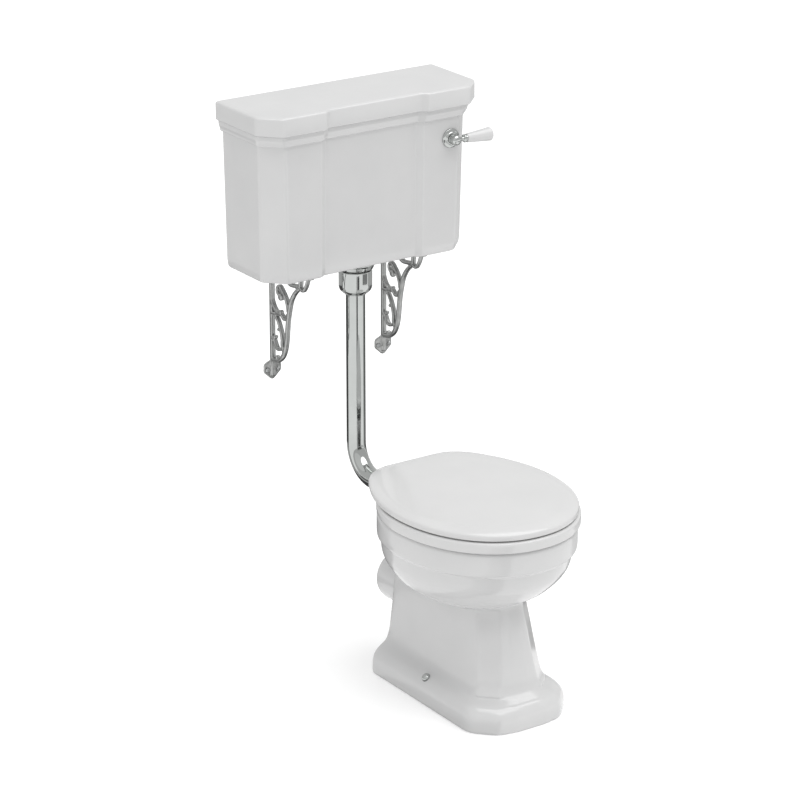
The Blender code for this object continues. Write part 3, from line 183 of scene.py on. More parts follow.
def surface(name, dark, light, roughness, metallic=0.0, patch=14, grain=220, relief=0.02, coat=0.0):
    """A Principled finish whose colour, gloss and relief all vary a little over the piece."""
    made, nodes, links = new_material(name)
    shader = nodes["Principled BSDF"]
    shader.inputs["Metallic"].default_value = metallic
    shader.inputs["Coat Weight"].default_value = coat
    shader.inputs["Coat Roughness"].default_value = 0.03
    cloud = noise(nodes, links, patch)
    fine = noise(nodes, links, grain, 4.0, 0.6)
    colour = tint(nodes, links, spread(nodes, links, cloud, 0, 1), dark, light)
    links.new(colour, shader.inputs["Base Color"])
    links.new(spread(nodes, links, fine, *roughness), shader.inputs["Roughness"])
    wave = bump(nodes, links, cloud, relief, 0.6 * MM)
    links.new(bump(nodes, links, fine, relief, 0.15 * MM, wave), shader.inputs["Normal"])
    return made


china = surface(
    "glazed_china", (0.555, 0.556, 0.557), (0.58, 0.58, 0.58), (0.12, 0.2),
    patch=9, grain=160, relief=0.03, coat=0.15,
)
seat_lacquer = surface(
    "seat_lacquer", (0.565, 0.565, 0.565), (0.59, 0.59, 0.588), (0.12, 0.19),
    patch=7, grain=420, relief=0.04, coat=0.1,
)
chrome = surface(
    "polished_chrome", (0.45, 0.465, 0.455), (0.50, 0.515, 0.505), (0.03, 0.08),
    metallic=1.0, patch=20, grain=300, relief=0.015,
)
bracket_metal = surface(
    "satin_casting", (0.31, 0.315, 0.31), (0.44, 0.445, 0.44), (0.26, 0.4),
    metallic=1.0, patch=60, grain=900, relief=0.2,
)
zinc = surface(
    "zinc_plate", (0.42, 0.43, 0.44), (0.56, 0.57, 0.56), (0.25, 0.42),
    metallic=1.0, patch=120, grain=900, relief=0.1,
)
brass = surface(
    "plain_brass", (0.50, 0.36, 0.14), (0.62, 0.47, 0.22), (0.22, 0.4),
    metallic=1.0, patch=50, grain=600, relief=0.1,
)
polymer = surface(
    "white_polymer", (0.52, 0.52, 0.51), (0.57, 0.57, 0.56), (0.35, 0.5), patch=12, grain=700, relief=0.08
)
dark_rubber = surface(
    "dark_rubber", (0.02, 0.02, 0.02), (0.05, 0.05, 0.05), (0.6, 0.8), patch=30, grain=800, relief=0.25
)
white_rubber = surface(
    "white_rubber", (0.50, 0.50, 0.485), (0.56, 0.56, 0.545), (0.5, 0.7), patch=30, grain=800, relief=0.2
)

FINISHES = {
    "white_china": china,
    "seat_lacquer": seat_lacquer,
    "chrome": chrome,
    "bracket_metal": bracket_metal,
    "zinc_steel": zinc,
    "brass": brass,
    "white_plastic": polymer,
    "rubber_dark": dark_rubber,
    "rubber_white": white_rubber,
}
SLOT_OF = {part["node"]: part["material_slot"] for part in frame["record"]["subparts"]}
BODY_OF = {
    node: body for body, nodes in frame["record"]["behaviour"]["bodies"].items() for node in nodes
}


# ---------------------------------------------------------------- modelling


def linked(name, data):
    """A new object in the scene."""
    made = bpy.data.objects.new(name, data)
    bpy.context.scene.collection.objects.link(made)
    return made


def smooth(mesh, angle):
    """Smooth shading, but not over edges sharper than an angle in degrees."""
    mesh.shade_smooth()
    mesh.set_sharp_from_angle(angle=math.radians(angle))


def add(name, mesh, angle=40):
    piece = linked(name, mesh)
    smooth(mesh, angle)
    return piece


def stands_for(piece, *nodes):
    """The piece takes the place, the body and the finish of these CAD nodes."""
    slot = SLOT_OF[nodes[0]]
    piece.data.materials.clear()
    piece.data.materials.append(FINISHES[slot])
    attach(piece, BODY_OF[nodes[0]])
    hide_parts(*nodes)
    return piece


def place(piece, at, along=(0, 0, 1)):
    """Moves a mesh made on +Z to a point, with +Z turned along a direction."""
    turn = Vector((0, 0, 1)).rotation_difference(Vector(along))
    piece.data.transform(Matrix.Translation(Vector(at)) @ turn.to_matrix().to_4x4())
    return piece


def mesh_from(shape):
    mesh = bpy.data.meshes.new("shape")
    bmesh.ops.recalc_face_normals(shape, faces=shape.faces)
    shape.to_mesh(mesh)
    shape.free()
    return mesh


def grid(name, rings, around=False, low_cap=False, high_cap=False, angle=40):
    """A skin over rings of points. `around` closes the last ring onto the first."""
    shape = bmesh.new()
    made = [[shape.verts.new(point) for point in ring] for ring in rings]
    pairs = list(zip(made, made[1:]))
    if around:
        pairs.append((made[-1], made[0]))
    for lower, upper in pairs:
        for i in range(len(lower)):
            j = (i + 1) % len(lower)
            shape.faces.new((lower[i], lower[j], upper[j], upper[i]))
    if low_cap:
        shape.faces.new(made[0])
    if high_cap:
        shape.faces.new(made[-1])
    return add(name, mesh_from(shape), angle)


def turned(name, profile, at, along=(0, 0, 1), steps=64, ring=False, angle=40):
    """A profile of (radius, height) turned about an axis. A ring's profile closes on itself."""
    rings = [
        [
            (radius * math.cos(a), radius * math.sin(a), height)
            for a in (2 * math.pi * k / steps for k in range(steps))
        ]
        for radius, height in profile
    ]
    piece = grid(name, rings, around=ring, low_cap=not ring, high_cap=not ring, angle=angle)
    return place(piece, at, along)


def bend(start, corner, end, chords):
    """A curve from start to end that leaves and arrives along the lines to the corner."""
    curve = []
    for k in range(chords + 1):
        t = k / chords
        curve.append(start * (1 - t) ** 2 + corner * 2 * t * (1 - t) + end * t * t)
    return curve


def bulged(value, power):
    """A sine or cosine raised to a power, its sign kept."""
    return math.copysign(abs(value) ** power, value)


def eased(profile, radius, chords=4):
    """A profile with all its corners but the first and last rounded."""
    points = [Vector(point) for point in profile]
    soft = [points[0]]
    for before, here, after in zip(points, points[1:], points[2:]):
        reach = min(radius, 0.45 * (before - here).length, 0.45 * (after - here).length)
        start = here + (before - here).normalized() * reach
        end = here + (after - here).normalized() * reach
        soft += bend(start, here, end, chords)
    return [*soft, points[-1]]


def bar(name, start, end, radius, edge=0.6 * MM, steps=40):
    """A round bar with eased ends."""
    start, end = Vector(start), Vector(end)
    length = (end - start).length
    profile = [(radius - edge, 0), (radius, edge), (radius, length - edge), (radius - edge, length)]
    return turned(name, profile, start, end - start, steps, angle=50)


def tube(name, points, radius, sides=48):
    """A round tube along a route, as a mesh with capped ends."""
    curve = bpy.data.curves.new(name, "CURVE")
    curve.dimensions = "3D"
    curve.bevel_depth = radius
    curve.bevel_resolution = (sides - 4) // 2
    curve.use_fill_caps = True
    spline = curve.splines.new("POLY")
    spline.points.add(len(points) - 1)
    for point, target in zip(points, spline.points):
        target.co = (*point, 1)
    return meshed(name, curve)


def meshed(name, curve):
    """A curve turned into a mesh with its seams closed."""
    drawn = linked(name + "_route", curve)
    graph = bpy.context.evaluated_depsgraph_get()
    mesh = bpy.data.meshes.new_from_object(drawn.evaluated_get(graph))
    bpy.data.objects.remove(drawn)
    shape = bmesh.new()
    shape.from_mesh(mesh)
    bmesh.ops.remove_doubles(shape, verts=shape.verts, dist=0.00001)
    bmesh.ops.recalc_face_normals(shape, faces=shape.faces)
    shape.to_mesh(mesh)
    shape.free()
    return add(name, mesh)


def block(name, low, high, edge=0.8 * MM, segments=3):
    """A block with rounded edges."""
    low, high = Vector(low), Vector(high)
    shape = bmesh.new()
    bmesh.ops.create_cube(shape, size=1)
    bmesh.ops.scale(shape, vec=high - low, verts=shape.verts)
    bmesh.ops.translate(shape, vec=(low + high) / 2, verts=shape.verts)
    bmesh.ops.bevel(
        shape, geom=shape.edges[:], offset=edge, segments=segments, affect="EDGES", profile=0.5
    )
    return add(name, mesh_from(shape), 30)


def boolean(target, others, operation):
    """Cuts or joins other pieces into the target and removes them."""
    for other in others:
        modifier = target.modifiers.new(operation.title(), "BOOLEAN")
        modifier.operation = operation
        modifier.object = other
        apply_modifiers(target)
        bpy.data.objects.remove(other)
    return target


def cut(target, *others):
    return boolean(target, others, "DIFFERENCE")


def join(target, *others):
    return boolean(target, others, "UNION")


def apply_modifiers(piece):
    """Replaces the piece's mesh with the one its modifiers make."""
    graph = bpy.context.evaluated_depsgraph_get()
    mesh = bpy.data.meshes.new_from_object(piece.evaluated_get(graph))
    piece.modifiers.clear()
    piece.data = mesh
    return piece


def cast_in_one(piece, voxel, passes, angle=80):
    """Runs the joined shapes into one skin with soft fillets, as in a casting."""
    remesh = piece.modifiers.new("One skin", "REMESH")
    remesh.mode = "VOXEL"
    remesh.voxel_size = voxel
    remesh.use_smooth_shade = True
    ease = piece.modifiers.new("Fillets", "SMOOTH")
    ease.factor = 0.5
    ease.iterations = passes
    apply_modifiers(piece)
    smooth(piece.data, angle)
    return piece


def soften_between(piece, low, high, passes):
    """A wide, soft fillet: smooths only between two heights, fading out at both."""
    zone = piece.vertex_groups.new(name="zone")
    middle, reach = (low + high) / 2, (high - low) / 2
    for vertex in piece.data.vertices:
        weight = 1 - (abs(vertex.co.z - middle) / reach) ** 2
        if weight > 0.01:
            zone.add([vertex.index], weight, "REPLACE")
    ease = piece.modifiers.new("Neck", "SMOOTH")
    ease.factor = 0.5
    ease.iterations = passes
    ease.vertex_group = "zone"
    apply_modifiers(piece)
    piece.data.shade_smooth()


def through(points, per_span=8):
    """A smooth route (Catmull-Rom) through a few points."""
    points = [Vector(point) for point in points]
    ghosts = [2 * points[0] - points[1], *points, 2 * points[-1] - points[-2]]
    route = []
    for a, b, c, d in zip(ghosts, ghosts[1:], ghosts[2:], ghosts[3:]):
        for k in range(per_span):
            t = k / per_span
            curve = 2 * b + (c - a) * t + (2 * a - 5 * b + 4 * c - d) * t * t
            route.append(0.5 * (curve + (3 * b - a - 3 * c + d) * t**3))
    return [*route, points[-1]]


def rounded(corners, chords=8):
    """An outline through corners (x, y, radius), each rounded by a short curve."""
    outline = []
    for i, (x, y, radius) in enumerate(corners):
        here = Vector((x, y))
        before = Vector(corners[i - 1][:2]) - here
        after = Vector(corners[(i + 1) % len(corners)][:2]) - here
        half = before.angle(after) / 2
        reach = min(radius / math.tan(half), 0.45 * before.length, 0.45 * after.length)
        start = here + before.normalized() * reach
        end = here + after.normalized() * reach
        outline += bend(start, here, end, chords)
    return outline


def mirrored(half):
    """Corners on the right, and the same ones on the left in the opposite order."""
    return [*half, *((-x, y, radius) for x, y, radius in reversed(half))]


def at_height(outline, height):
    return [(x, y, height) for x, y in outline]


def oval(half_width, front, rear, centre_y, count=128):
    """A squarish oval with different reaches to the front and the rear."""
    outline = []
    for i in range(count):
        turn = 2 * math.pi * i / count
        across, along = math.cos(turn), math.sin(turn)
        x = half_width * bulged(across, 2 / OVAL_POWER)
        reach = rear if along > 0 else front
        y = centre_y + reach * bulged(along, 2 / OVAL_POWER)
        outline.append((x, y))
    return outline


# ---------------------------------------------------------------- pan


def bowl_outline(share, shift=0.0):
    return oval(RIM_HALF_WIDTH * share, RIM_FRONT * share, RIM_REAR * share, BOWL_Y + shift)


def bowl_outside():
    """The rim band and the round of the bowl, as (depth under the rim, share of the rim's size)."""
    band = RIM_BAND / MM
    rim = [(0, 0.978), (1.5, 0.992), (5, 1.0), (band - 12, 1.0), (band - 3, 0.996), (band, 0.964)]
    under = through(
        [(band + 4, 0.962), (band + 36, 0.925), (band + 64, 0.83), (band + 88, 0.70), (band + 116, 0.42)]
    )
    sections = []
    for depth, share in [*rim, *under]:
        shift = 12 * MM * max(0, depth - band) / 116
        sections.append(at_height(bowl_outline(share, shift), RIM_TOP - depth * MM))
    return grid("bowl", sections, low_cap=True, high_cap=True)


def bowl_inside():
    """The space in the bowl: the opening, the ledge under the rim and the funnel."""
    mouth = OPENING_HALF_WIDTH / RIM_HALF_WIDTH
    wide = 1 - (BOWL_WALL + 12 * MM) / RIM_HALF_WIDTH
    route = [
        (-2, mouth + 0.02), (6, mouth), (44, mouth + 0.01), (54, wide - 0.04), (96, wide - 0.12),
        (130, wide - 0.32), (164, wide - 0.58), (212, wide - 0.66),
    ]
    sections = [
        at_height(bowl_outline(share, 4 * MM), RIM_TOP - depth * MM) for depth, share in through(route, 5)
    ]
    return grid("bowl_space", sections, low_cap=True, high_cap=True)


# Height, inset at the sides and inset at the front, in millimetres, from the floor to inside the bowl
FOOT_SECTIONS = [
    (0, 1, 1), (3, 0, 0), (22, 0, 0), (34, 2, 2), (43, 7, 7), (50, 14, 14), (56, 23, 23), (62, 31, 30),
    (71, 36, 35), (84, 39.5, 38.5), (100, 42, 41), (140, 47, 49), (180, 51, 57), (225, 55, 66), (318, 57, 80),
]

PLINTH_FLAT = 50
PLINTH_TOP = 60


def foot_outline(inset, front_inset, chamfer, bow, back, corner):
    """The foot's plan: a bowed front, two chamfered front corners and a straight back."""
    width = FOOT_HALF_WIDTH - inset
    front = PAN_BACK - FOOT_LENGTH + front_inset
    half = [
        (0.45 * (width - chamfer), front - bow, 60 * MM),
        (width - chamfer, front, corner),
        (width, front + chamfer, corner),
        (width, back, 13 * MM),
    ]
    return rounded(mirrored(half)[::-1], 6)


def foot_solid(name, wall, levels):
    """The plinth and pedestal, or with a wall the space inside them."""
    sections = []
    for height, inset, front_inset in levels:
        bow = FOOT_BOW if wall == 0 and height < PLINTH_FLAT else FOOT_BOW / 2
        back = PAN_BACK if wall == 0 else PAN_BACK - 20 * MM
        corner = 45 * MM if height < PLINTH_TOP else 14 * MM
        chamfer = FOOT_CHAMFER + (10 * MM if height < PLINTH_TOP else 0)
        outline = foot_outline(inset * MM + wall, front_inset * MM + wall, chamfer, bow, back, corner)
        sections.append(at_height(outline, height * MM))
    return grid(name, sections, low_cap=True, high_cap=True)


def trap_route():
    """The middle of the water way: down from the bowl, round the bend, over the weir and out."""
    start = BOWL_Y - 14 * MM
    sag, weir = 56 * MM, 46 * MM
    low, high = 122 * MM, 150 * MM
    points = [(start, 196 * MM), (start, low)]
    for k in range(1, 12):
        turn = math.pi * k / 12
        points.append((start + sag * (1 - math.cos(turn)), low - sag * math.sin(turn)))
    points.append((start + 2 * sag, low))
    points.append((start + 2 * sag, high))
    for k in range(1, 7):
        turn = math.pi / 2 * k / 6
        points.append((start + 2 * sag + weir * (1 - math.cos(turn)), high + weir * math.sin(turn)))
    points += [(PAN_BACK, SPIGOT_HEIGHT + 8 * MM), (SPIGOT_END - 14 * MM, SPIGOT_HEIGHT)]
    return [(0, y, z) for y, z in points]


def deck():
    """The flat shelf behind the bowl that carries the hinge."""
    corners = [(DECK_HALF_WIDTH, BOWL_Y + 40 * MM, 10 * MM), (DECK_HALF_WIDTH, DECK_BACK, 16 * MM)]
    heights = (RIM_TOP - DECK_THICK, RIM_TOP - 0.2 * MM)
    sections = [at_height(rounded(mirrored(corners)), height) for height in heights]
    return grid("deck", sections, low_cap=True, high_cap=True)


def level_bar(name, start, end, height, radius, edge, steps):
    """A round bar on the pan's middle plane, from one y to another at one height."""
    return bar(name, (0, start, height), (0, end, height), radius, edge, steps)


def pan():
    body = bowl_outside()
    steps = through(FOOT_SECTIONS[1:], 3)
    outside = [FOOT_SECTIONS[0], *((round(height, 3), side, front) for height, side, front in steps)]
    shelf = deck()
    spigot = level_bar(
        "spigot", PAN_BACK - 60 * MM, SPIGOT_END, SPIGOT_HEIGHT, SPIGOT_RADIUS, 2 * MM, 72
    )
    horn = level_bar("horn", PAN_BACK - 40 * MM, HORN_END, HORN_HEIGHT, HORN_RADIUS, 1.5 * MM, 56)
    join(body, foot_solid("pedestal", 0, outside), spigot, shelf, horn)
    kept = (22, 43, 62, 84, 100, 180)
    levels = [(-2, 1, 1), *(section for section in FOOT_SECTIONS if section[0] in kept)]
    hollow = foot_solid("foot_space", FOOT_WALL, levels)
    cut(hollow, tube("trap_wall", trap_route(), TRAP_BORE + 8 * MM, 40))
    bore = level_bar(
        "bore", PAN_BACK + 6 * MM, SPIGOT_END + 5 * MM, SPIGOT_HEIGHT, SPIGOT_BORE, 0.5 * MM, 64
    )
    inlet = level_bar(
        "inlet", BOWL_Y + 130 * MM, HORN_END + 5 * MM, HORN_HEIGHT, HORN_BORE, 0.5 * MM, 48
    )
    cut(body, hollow, bowl_inside(), tube("trap", trap_route(), TRAP_BORE, 40), bore, inlet)
    cast_in_one(body, PAN_VOXEL, 6, 180)
    soften_between(body, NECK_BOTTOM, NECK_TOP, 60)
    body.name = "pan_china"
    stands_for(body, "pan")


# ---------------------------------------------------------------- seat


def seat_outline(inset, back, back_half_width, count=96):
    """A half oval in front, sides that draw in, and a straight back edge with rounded corners."""
    width, front = SEAT_HALF_WIDTH - inset, SEAT_FRONT - inset
    back, narrow, corner = back - inset, back_half_width - inset, 45 * MM
    outline = []
    for i in range(count + 1):
        turn = math.pi + math.pi * i / count
        across, along = math.cos(turn), math.sin(turn)
        x = width * bulged(across, 2 / OVAL_POWER)
        outline.append((x, BOWL_Y + front * bulged(along, 2 / OVAL_POWER)))
    straight = back - corner - BOWL_Y
    side = [(width - (width - narrow) * (k / 24) ** 2, BOWL_Y + straight * k / 24) for k in range(1, 25)]
    start = Vector((narrow, back - corner))
    turn = start + corner * Vector((-2 * (width - narrow) / straight, 1))
    end = turn - Vector((corner, 0))
    turn_in = bend(start, turn, end, 12)[1:]
    edge = [(end.x * (1 - k / 8), back) for k in range(1, 8)]
    right = [*side, *turn_in, *edge]
    return [*outline, *right, (0, back), *((-x, y) for x, y in reversed(right))]


def seat_lid():
    """A thick lid with a well rounded upper edge and a slightly crowned top."""
    low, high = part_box("seat_lid")
    back = high.y + LID_INSET
    base = low.z
    edge = eased(
        [
            (LID_INSET + 5 * MM, 0), (LID_INSET, 1.6 * MM), (LID_INSET, LID_THICK * 0.62),
            (LID_INSET + 15 * MM, LID_THICK),
        ],
        9 * MM, 8,
    )
    rings = []
    for inset, height in edge:
        rings.append(at_height(seat_outline(inset, back, LID_BACK_HALF_WIDTH), base + height))
    outer = seat_outline(LID_INSET + 15 * MM, back, LID_BACK_HALF_WIDTH)
    crown = high.z - base - LID_THICK
    centre = Vector((0, BOWL_Y + 10 * MM))
    for k in range(1, 16):
        share = 1 - k / 16
        height = base + LID_THICK + crown * (1 - share**2.2)
        rings.append([(*(centre + (Vector(point) - centre) * share), height) for point in outer])
    lid = grid("seat_lid_lacquered", rings, low_cap=True, high_cap=True, angle=60)
    stands_for(lid, "seat_lid")


def seat_ring():
    """Sections set round the ring, each from the outline to an oval hole."""
    low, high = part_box("seat_ring")
    outer = seat_outline(0, high.y, RING_BACK_HALF_WIDTH)
    rings = []
    for x, y in outer:
        turn = math.atan2(y - BOWL_Y, x)
        across, along = math.cos(turn), math.sin(turn)
        reach = HOLE_REAR if along > 0 else HOLE_FRONT
        bulk = abs(across / HOLE_HALF_WIDTH) ** OVAL_POWER + abs(along / reach) ** OVAL_POWER
        scale = bulk ** (-1 / OVAL_POWER)
        inner = Vector((across * scale, BOWL_Y + along * scale))
        edge = Vector((x, y))
        width = (edge - inner).length
        tall = high.z - low.z
        section = []
        for share, height in soft_section(width, tall):
            point = edge.lerp(inner, share)
            section.append((point.x, point.y, low.z + height))
        rings.append(section)
    ring = grid("seat_ring_lacquered", rings, around=True, angle=60)
    stands_for(ring, "seat_ring")


def soft_section(width, tall):
    """The ring's cross-section as (share of the width, height), its corners well rounded."""
    corners = [
        (0, 0, 3.5), (0, tall / MM, 7), (width / MM * 0.35, tall / MM, 30),
        (width / MM, tall / MM * 0.8, 7), (width / MM, 0, 3),
    ]
    return [(point.x * MM / width, point.y * MM) for point in rounded(corners, 5)]


# ---------------------------------------------------------------- cistern


def cistern_outline(width, depth, chamfer, recess, inset=0.0):
    """The cistern's plan: chamfered front corners and a panel set back between two small steps."""
    half_width = width / 2 - inset
    front = WALL - depth + inset
    half = [
        (PANEL_HALF_WIDTH - 6.5 * MM, front + recess, 10 * MM),
        (PANEL_HALF_WIDTH + 6.5 * MM, front, 10 * MM),
        (half_width - chamfer, front, 15 * MM),
        (half_width, front + chamfer, 15 * MM),
        (half_width, WALL - inset, 5 * MM),
    ]
    return rounded(mirrored(half), 7)


def body_section(height, inset):
    """The tapering part below the moulding."""
    share = (MOULDING_BOTTOM - height) / (MOULDING_BOTTOM - CISTERN_BOTTOM)
    width = BODY_WIDTH - 2 * BODY_TAPER * share
    depth = BODY_DEPTH - 0.7 * BODY_TAPER * share
    return at_height(cistern_outline(width, depth, CHAMFER, PANEL_RECESS, inset), height)


def moulding_section(height, step):
    outline = cistern_outline(BODY_WIDTH + 2 * step, BODY_DEPTH + step, CHAMFER, PANEL_RECESS)
    return at_height(outline, height)


def cistern_body():
    """Sections up the outside, over the moulding's edge and down the inside, with three holes."""
    foot = eased([(14, 0), (2, 0), (0, 14), (0, 30)], 8, 6)
    sections = [body_section(CISTERN_BOTTOM + h * MM, inset * MM) for inset, h in foot]
    rise = (MOULDING_BOTTOM - CISTERN_BOTTOM) / MM
    sections += [body_section(CISTERN_BOTTOM + h * MM, 0) for h in (100, 180, rise - 6)]
    step = MOULDING_STEP / MM
    moulding = eased(
        [
            (0, -6), (0, 0), (step - 1, 1), (step, 7), (step + 2.4, 13), (step + 3, 21.6),
            (step + 1.8, 22.9), (-6, 23),
        ],
        1.6, 4,
    )
    sections += [moulding_section(MOULDING_BOTTOM + h * MM, out * MM) for out, h in moulding[1:-1]]
    for height, extra in ((BODY_TOP, -1), (BODY_TOP - 1.5 * MM, 0)):
        inset = CISTERN_WALL + extra * MM
        outline = cistern_outline(BODY_WIDTH, BODY_DEPTH, CHAMFER, PANEL_RECESS, inset)
        sections.append(at_height(outline, height))
    floor = CISTERN_BOTTOM + CISTERN_WALL
    for height, extra in ((floor + 20 * MM, 0), (floor + 8 * MM, 1), (floor + 2 * MM, 5), (floor, 12)):
        sections.append(body_section(height, CISTERN_WALL + extra * MM))
    body = grid("cistern_body_china", sections, low_cap=True, high_cap=True, angle=55)
    front = WALL - BODY_DEPTH
    valve_low, valve_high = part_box("valve_back_nut")
    middle = (valve_low + valve_high) / 2
    below, above = CISTERN_BOTTOM - 5 * MM, floor + 5 * MM
    tail_hole = bar("tail_hole", (0, PIPE_Y, below), (0, PIPE_Y, above), 25 * MM)
    inlet_hole = bar("inlet_hole", (middle.x, middle.y, below), (middle.x, middle.y, above), 10.8 * MM)
    lever_hole = bar(
        "lever_hole", (LEVER_X, front - 5 * MM, LEVER_Z), (LEVER_X, front + 14 * MM, LEVER_Z), 7.8 * MM
    )
    cut(body, tail_hole, inlet_hole, lever_hole)
    smooth(body.data, 55)
    stands_for(body, "cistern_body")


def cistern_lid():
    """A shell, open below, whose underside and edge are one skin."""
    low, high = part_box("cistern_lid")
    width = high.x - low.x
    depth = WALL - low.y
    tall = (high.z - low.z) / MM
    edge = eased([(12, 0.4), (2.2, 0), (0, 1.8), (0, tall - 3), (6, tall), (30, tall)], 5, 7)

    def section(inset, height):
        outline = cistern_outline(width, depth, CHAMFER + 1 * MM, LID_RECESS, inset * MM)
        return at_height(outline, low.z + height * MM)

    inside = [(30, tall - LID_SHELL / MM), (28, tall - LID_SHELL / MM - 2), (26, 4), (24, 1)]
    sections = [section(inset, height) for inset, height in [*inside, *edge]]
    lid = grid("cistern_lid_china", sections, low_cap=True, high_cap=True, angle=55)
    stands_for(lid, "cistern_lid")


# ---------------------------------------------------------------- flush pipe


def flush_pipe():
    """Down from the cistern, round one quarter bend and forward into the horn."""
    low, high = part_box("flush_pipe")
    points = [(0, PIPE_Y, high.z), (0, PIPE_Y, HORN_HEIGHT + PIPE_BEND)]
    for i in range(1, 24):
        turn = math.pi / 2 * i / 24
        y = PIPE_Y - PIPE_BEND * (1 - math.cos(turn))
        points.append((0, y, HORN_HEIGHT + PIPE_BEND * (1 - math.sin(turn))))
    points += [(0, PIPE_Y - PIPE_BEND, HORN_HEIGHT), (0, low.y, HORN_HEIGHT)]
    stands_for(tube("flush_pipe_chromed", points, PIPE_RADIUS, 64), "flush_pipe")


def turned_ring(name, node, profile, corner, at, along=(0, 0, 1), steps=72):
    """A hollow turned piece that stands for a node."""
    stands_for(turned(name, eased(profile, corner), at, along, steps, ring=True), node)


def pipe_joint():
    """The coupling nut on the pipe and the flanged back nut above it."""
    low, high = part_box("coupling_nut")
    radius = (high.x - low.x) / 2
    bottom, top = low.z, high.z
    nut = [
        (radius - 5 * MM, top), (radius - 2 * MM, top), (radius, top - 1.5 * MM),
        (radius, bottom + 16 * MM), (radius - 2 * MM, bottom + 9 * MM), (radius - 8 * MM, bottom + 3.5 * MM),
        (22 * MM, bottom + 2 * MM), (21.5 * MM, bottom), (PIPE_GRIP, bottom),
        (PIPE_GRIP, bottom + 8 * MM), (TAIL_GRIP, bottom + 12 * MM), (TAIL_GRIP, top),
    ]
    turned_ring("coupling_nut_chromed", "coupling_nut", nut, 2.4 * MM, (0, PIPE_Y, 0))
    low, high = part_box("siphon_back_nut")
    radius = (high.x - low.x) / 2
    flange = [
        (TAIL_GRIP, high.z), (radius, high.z), (radius, high.z - 4 * MM),
        (radius - 3 * MM, high.z - 7 * MM), (radius - 6 * MM, low.z), (TAIL_GRIP, low.z),
    ]
    turned_ring("back_nut_chromed", "siphon_back_nut", flange, 1.2 * MM, (0, PIPE_Y, 0))


def flush_cone():
    """The rubber cone that grips the pipe at one end and the horn at the other."""
    over = 28.3 * MM
    cone = [
        (PIPE_GRIP, 26 * MM), (PIPE_GRIP + 3 * MM, 26 * MM), (PIPE_GRIP + 4.5 * MM, 22 * MM),
        (PIPE_GRIP + 5 * MM, 10 * MM), (over + 5 * MM, -2 * MM), (over + 5 * MM, -17 * MM),
        (over + 3.5 * MM, -20 * MM), (over, -20 * MM), (over, 0.3 * MM), (PIPE_GRIP, 0.3 * MM),
    ]
    at = (0, HORN_END, HORN_HEIGHT)
    turned_ring("flush_cone_rubber", "flush_cone", cone, 2 * MM, at, (0, 1, 0), 64)


# ---------------------------------------------------------------- brackets


BRACKET_VOXEL = 0.9 * MM


def strap(name, points, width, thick, taper=(1.0, 1.0)):
    """A cast strip with rounded edges along points in one plane of constant x.

    `width` lies in the plane and `thick` across it.
    """
    rings = []
    count = len(points)
    for i, point in enumerate(points):
        ahead = points[min(i + 1, count - 1)] - points[max(i - 1, 0)]
        ahead.x = 0
        side = Vector((0, -ahead.z, ahead.y)).normalized()
        size = taper[0] + (taper[1] - taper[0]) * i / (count - 1)
        ring = []
        for k in range(16):
            turn = 2 * math.pi * (k + 0.5) / 16
            across = bulged(math.cos(turn), 0.6) * width / 2 * size
            through_plane = bulged(math.sin(turn), 0.6) * thick / 2
            ring.append(point + side * across + Vector((through_plane, 0, 0)))
        rings.append(ring)
    return grid(name, rings, low_cap=True, high_cap=True)


# A bracket's strips: name, width, taper and route, in millimetres from the wall and below the cistern
BRACKET_STRIPS = [
    ("outer", 8.5, (0.85, 1.1), [
        (112, 3), (109, 30), (98, 40), (87, 51), (76, 68), (69, 90), (64, 110), (61, 131), (58, 153),
        (53, 173), (44, 190), (30, 202), (16, 206), (4, 207),
    ]),
    ("wedge", 8, (0.9, 1.1), [(54, 2), (60, 24), (74, 33), (92, 32), (108, 29)]),
    ("lip", 6, (1.2, 0.8), [(107, 28), (114, 33), (121, 34), (127, 28), (133, 18), (139, 4)]),
    ("stem", 7, (1.0, 0.9), [
        (66, 92), (63, 78), (56, 65), (46, 55), (37, 48), (30, 50), (27, 58), (32, 66),
    ]),
    ("upper_leaf", 6, (0.8, 1.3), [(6, 80), (11, 91), (18, 99), (27, 104), (36, 106)]),
    ("middle_scroll", 6.5, (1.1, 1.1), [
        (64, 98), (58, 108), (50, 111), (43, 106), (36, 104), (20, 108), (4, 110),
    ]),
    ("leaf", 8, (0.7, 1.0), [(16, 108), (27, 119), (34, 130), (40, 143), (43, 156), (43, 168), (49, 180)]),
    ("lower_scroll", 6, (1.0, 1.1), [(46, 172), (36, 178), (26, 180), (19, 174), (13, 164), (4, 158)]),
]
# Round bosses on the scrolls: place and radius
BRACKET_KNOBS = [((38, 69), 7.5), ((38, 100), 4), ((31, 138), 3.5), ((16, 158), 4), ((22, 198), 4)]


